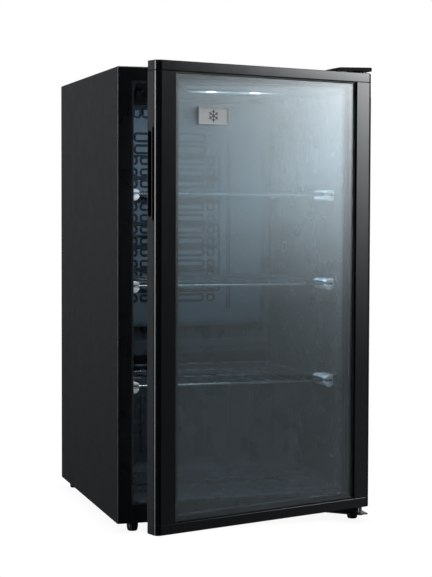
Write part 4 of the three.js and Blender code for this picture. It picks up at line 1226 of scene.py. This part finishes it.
def levelingFoot(name, node):
    low, high = cabinetBox(node)
    middle = (low + high) / 2
    shoulder = cabinetBox("bottom_hinge_bracket")[0].z - foot["underBracket"]
    stem = foot["stem"]
    radius = (high.x - low.x) / 2
    profile = [(0, 0), (foot["padRadius"], 0), (radius - 1.2, 1.4), (radius, shoulder * 0.55),
               (radius, shoulder - 1.4), (radius - 1, shoulder), (stem, shoulder),
               (stem, high.z - foot["stemEdge"]), (stem - foot["stemEdge"], high.z), (0, high.z)]
    body = spun(name, (middle.x, middle.y, low.z), profile, 48)
    centre = spot(middle.x, middle.y, 0)
    cutters = []
    for i in range(foot["flutes"]):
        flute = drum("flute", (middle.x + radius + foot["fluteProud"], middle.y, shoulder / 2 + 4),
                     foot["fluteRadius"], shoulder, "Z", 10)
        flute.data.transform(turnedAbout(centre, 2 * math.pi * i / foot["flutes"], "Z"))
        cutters.append(flute)
    carve(body, gather("flutes", *cutters))
    return smooth(body)


def rearFoot(name, node):
    low, high = cabinetBox(node)
    middle = (low + high) / 2
    radius = (high.x - low.x) / 2
    profile = [(0, 0.6), (2.6, 0.6), (3.2, 0), (foot["padRadius"] - 0.8, 0), (foot["padRadius"], 0.8),
               (radius, high.z - 2), (radius, high.z), (0, high.z)]
    return spun(name, (middle.x, middle.y, low.z), profile, 40)


for side in ("left", "right"):
    node = f"leveling_foot_{side}"
    fit(levelingFoot(f"levelingFoot_{side}", node), f"foot_{side}", "black_plastic", paint["blackPlastic"],
        node)
    node = f"rear_foot_{side}"
    fit(rearFoot(f"rearFoot_{side}", node), "cabinet", "black_plastic", paint["blackPlastic"], node)
for node, width in (("top_hinge_bracket", 0.5), ("bottom_hinge_bracket", 0.5), ("top_hinge_pin", 0.5),
                    ("bottom_hinge_pin", 0.5), ("top_hinge_screw_1", 0.25), ("top_hinge_screw_2", 0.25),
                    ("bottom_hinge_screw_1", 0.25), ("bottom_hinge_screw_2", 0.25)):
    words = node.split("_")
    name = words[0] + "".join(word.capitalize() for word in words[1:])
    finishName = "cabinetPaint" if node == "bottom_hinge_bracket" else "zincSteel"
    fit(refined(name, node, width), "cabinet", "zinc_steel", paint[finishName], node)
fit(refined("hingeCover", "hinge_cover", 0.4, 3), "cabinet", "black_plastic", paint["blackPlastic"],
    "hinge_cover")
print("hinges and feet fitted")

# ---- back panel, condenser and compressor bay ----
back = {"beadRise": 2, "beadWidth": 14, "beads": 3, "beadPitch": 90, "beadLow": 75, "beadTop": 45,
        "bayFold": 38, "screwInset": 9, "screwLow": 22, "screwTop": 14, "sunk": 0.5,
        "screwProfile": [(0, 0), (4, 0), (3.8, 1.4), (2.6, 2.3), (0, 2.6)]}
coil = {"tube": 5.2, "wires": 30, "wireThickness": 1.6, "pitch": 50, "overhang": 6, "weld": 0.5,
        "bendGap": 0.5, "endClear": 32}


def backPanel():
    panel = refined("backPanel", "back_panel", 0.6, 2)
    low, high = cabinetBox("back_panel")
    face = high.y
    parts = [panel]
    bayTop = liner["stepTop"] - liner["wall"] - back["bayFold"]
    # stiffening beads pressed between the condenser's legs
    for i in range(back["beads"]):
        x = (i - (back["beads"] - 1) / 2) * back["beadPitch"]
        bead = block("bead", (x - back["beadWidth"] / 2, face - back["sunk"], bayTop + back["beadLow"]),
                     (x + back["beadWidth"] / 2, face + back["beadRise"], high.z - back["beadTop"]))
        crest = spot(0, face + back["beadRise"], 0).y
        edit(bead, "EDGE")
        roundEdges(bead, lambda a, b, e: along(a, b, "y"), back["beadWidth"] * 0.48, 5)
        roundEdges(bead, lambda a, b, e: near(a.y, crest) and near(b.y, crest), back["beadRise"] * 0.8, 3)
        done()
        parts.append(smooth(bead))
    for x in (low.x + back["screwInset"], high.x - back["screwInset"]):
        for z in (bayTop + back["screwLow"], (bayTop + high.z) / 2, high.z - back["screwTop"]):
            parts.append(spun("screw", (x, face - 0.2, z), back["screwProfile"], 20, "-Y"))
    return gather("backPanel", *parts)


def condenserCoil():
    low, high = cabinetBox("condenser_coil")
    y = (low.y + high.y) / 2
    half = coil["tube"] / 2
    x, bottom, top = high.x - half, low.z + half, high.z - half
    runs = round((top - bottom) / coil["pitch"])
    path = []
    for i in range(runs + 1):
        side = 1 if i % 2 == 0 else -1
        z = bottom + i * coil["pitch"]
        path += [(side * x, y, z), (-side * x, y, z)]
    parts = [wire("condenserCoil", path, coil["tube"], coil["pitch"] / 2 - coil["bendGap"], False, 3)]
    reach = half + coil["wireThickness"] / 2 - coil["weld"]
    for i in range(coil["wires"]):
        at = (i / (coil["wires"] - 1) * 2 - 1) * (x - coil["endClear"])
        for side in (-1, 1):
            run = [(at, y + side * reach, bottom - coil["overhang"]),
                   (at, y + side * reach, top + coil["overhang"])]
            parts.append(wire("fin", run, coil["wireThickness"], 0, False, 1))
    return gather("condenserCoil", *parts)


# the shell's profile is [radius, share of its height]; its foot is rounded in millimetres
shellFoot = [(0, 2), (44, 2), (52, 6), (57, 14)]
shellProfile = [(58, 0.50), (60, 0.51), (60.6, 0.53), (60.6, 0.56), (60, 0.575), (58, 0.585), (56.5, 0.78),
                (50, 0.9), (36, 0.975), (18, 1), (0, 1)]
compressorMake = {"plate": 3, "plateCorner": 12, "plateEdge": 0.5, "widen": 1.15,
                  "stubWire": 6, "stubBend": 8, "stub": ((-40, 30, 80), (-62, 44, 84), (-66, 46, 104))}


def compressor():
    low, high = cabinetBox("compressor")
    middle = (low + high) / 2
    plate = block("compressor", (low.x, low.y, low.z), (high.x, high.y, low.z + compressorMake["plate"]))
    edit(plate, "EDGE")
    roundEdges(plate, lambda a, b, e: along(a, b, "z"), compressorMake["plateCorner"], 5)
    done()
    soften(plate, compressorMake["plateEdge"], 2)
    height = high.z - low.z
    profile = shellFoot + [(radius, height * share) for radius, share in shellProfile]
    pot = spun("pot", (0, 0, 0), profile, 56)
    pot.data.transform(Matrix.Translation(-spot(0, 0, 0)))
    oval = Matrix.Diagonal((compressorMake["widen"], 1, 1, 1))
    pot.data.transform(Matrix.Translation(spot(middle.x, middle.y, low.z)) @ oval)
    smooth(pot, 50)
    run = [(middle.x + x, middle.y + y, low.z + z) for x, y, z in compressorMake["stub"]]
    stub = wire("stub", run, compressorMake["stubWire"], compressorMake["stubBend"], False, 3)
    return gather("compressor", plate, pot, stub)


fit(backPanel(), "cabinet", "galvanised", paint["galvanised"], "back_panel")
fit(condenserCoil(), "cabinet", "compressor_paint", paint["compressorPaint"], "condenser_coil")
fit(compressor(), "cabinet", "compressor_paint", paint["compressorPaint"], "compressor")
for node, name, width, slotName, finishName in (
        ("condenser_bracket_left", "condenserBracketLeft", 0.3, "galvanised", "galvanised"),
        ("condenser_bracket_right", "condenserBracketRight", 0.3, "galvanised", "galvanised"),
        ("terminal_box", "terminalBox", 1.8, "black_plastic", "blackPlastic"),
        ("evaporation_tray", "evaporationTray", 0.8, "black_plastic", "blackPlastic"),
        ("cord_gland", "cordGland", 0.6, "black_plastic", "blackPlastic")):
    fit(refined(name, node, width, 3), "cabinet", slotName, paint[finishName], node)


# radius and share of the height
grommetProfile = [(0, 0), (8, 0), (8, 0.3), (5.6, 0.42), (5.6, 0.6), (8, 0.72), (7.4, 1), (0, 1)]


def grommet(name, node):
    low, high = cabinetBox(node)
    middle = (low + high) / 2
    tall = high.z - low.z
    profile = [(radius, tall * share) for radius, share in grommetProfile]
    return spun(name, (middle.x, middle.y, low.z), profile, 28)


for side in ("left", "right"):
    for end in ("front", "rear"):
        node = f"compressor_grommet_{side}_{end}"
        name = f"grommet_{side}_{end}"
        fit(grommet(name, node), "cabinet", "grommet_rubber", paint["hardRubber"], node)


# radius and height from the bottom, then radius and drop from the top
drierLow = [(0, 0), (2.6, 0), (2.8, 8), (5, 11), (8.4, 15), (9, 17), (9, 24), (8.6, 25), (9, 26)]
drierHigh = [(9, 18), (8.4, 15), (5, 11), (2.8, 8), (2.6, 0), (0, 0)]


def filterDrier():
    low, high = cabinetBox("filter_drier")
    middle = (low + high) / 2
    tall = high.z - low.z
    profile = drierLow + [(radius, tall - drop) for radius, drop in drierHigh]
    return spun("filterDrier", (middle.x, middle.y, low.z), profile, 32)


fit(filterDrier(), "cabinet", "copper", paint["copper"], "filter_drier")


def pipe(name, node, points, thickness, bend):
    return fit(wire(name, points, thickness, bend, False, 4), "cabinet", "copper", paint["copper"], node)


# each tube follows the lower and outer edges of its node's box
tubes = {"dischargeHalf": 3.2, "suctionHalf": 4.2, "bend": 14}
(x0, y0, z0), (x1, y1, z1) = cabinetBox("discharge_tube")
half = tubes["dischargeHalf"]
pipe("dischargeTube", "discharge_tube",
     [(x0, y0 + half, z0 + half), (x1 - half, y0 + half, z0 + half), (x1 - half, y1 - half, z0 + half),
      (x1 - half, y1 - half, z1)], 2 * half, tubes["bend"])
(x0, y0, z0), (x1, y1, z1) = cabinetBox("suction_tube")
half = tubes["suctionHalf"]
pipe("suctionTube", "suction_tube",
     [(x0, y0 + half, z0 + half), (x1 - half, y0 + half, z0 + half), (x1 - half, y0 + half, z1)],
     2 * half, tubes["bend"])
print("back and compressor bay fitted")

nodeSlots = {"foam_insulation": "foam"}

for name, piece in frame["nodes"].items():
    if piece.hide_render:
        continue
    slotName = nodeSlots.get(name)
    piece.data.materials.clear()
    piece.data.materials.append(paint[slotName])
print("all pieces finished")
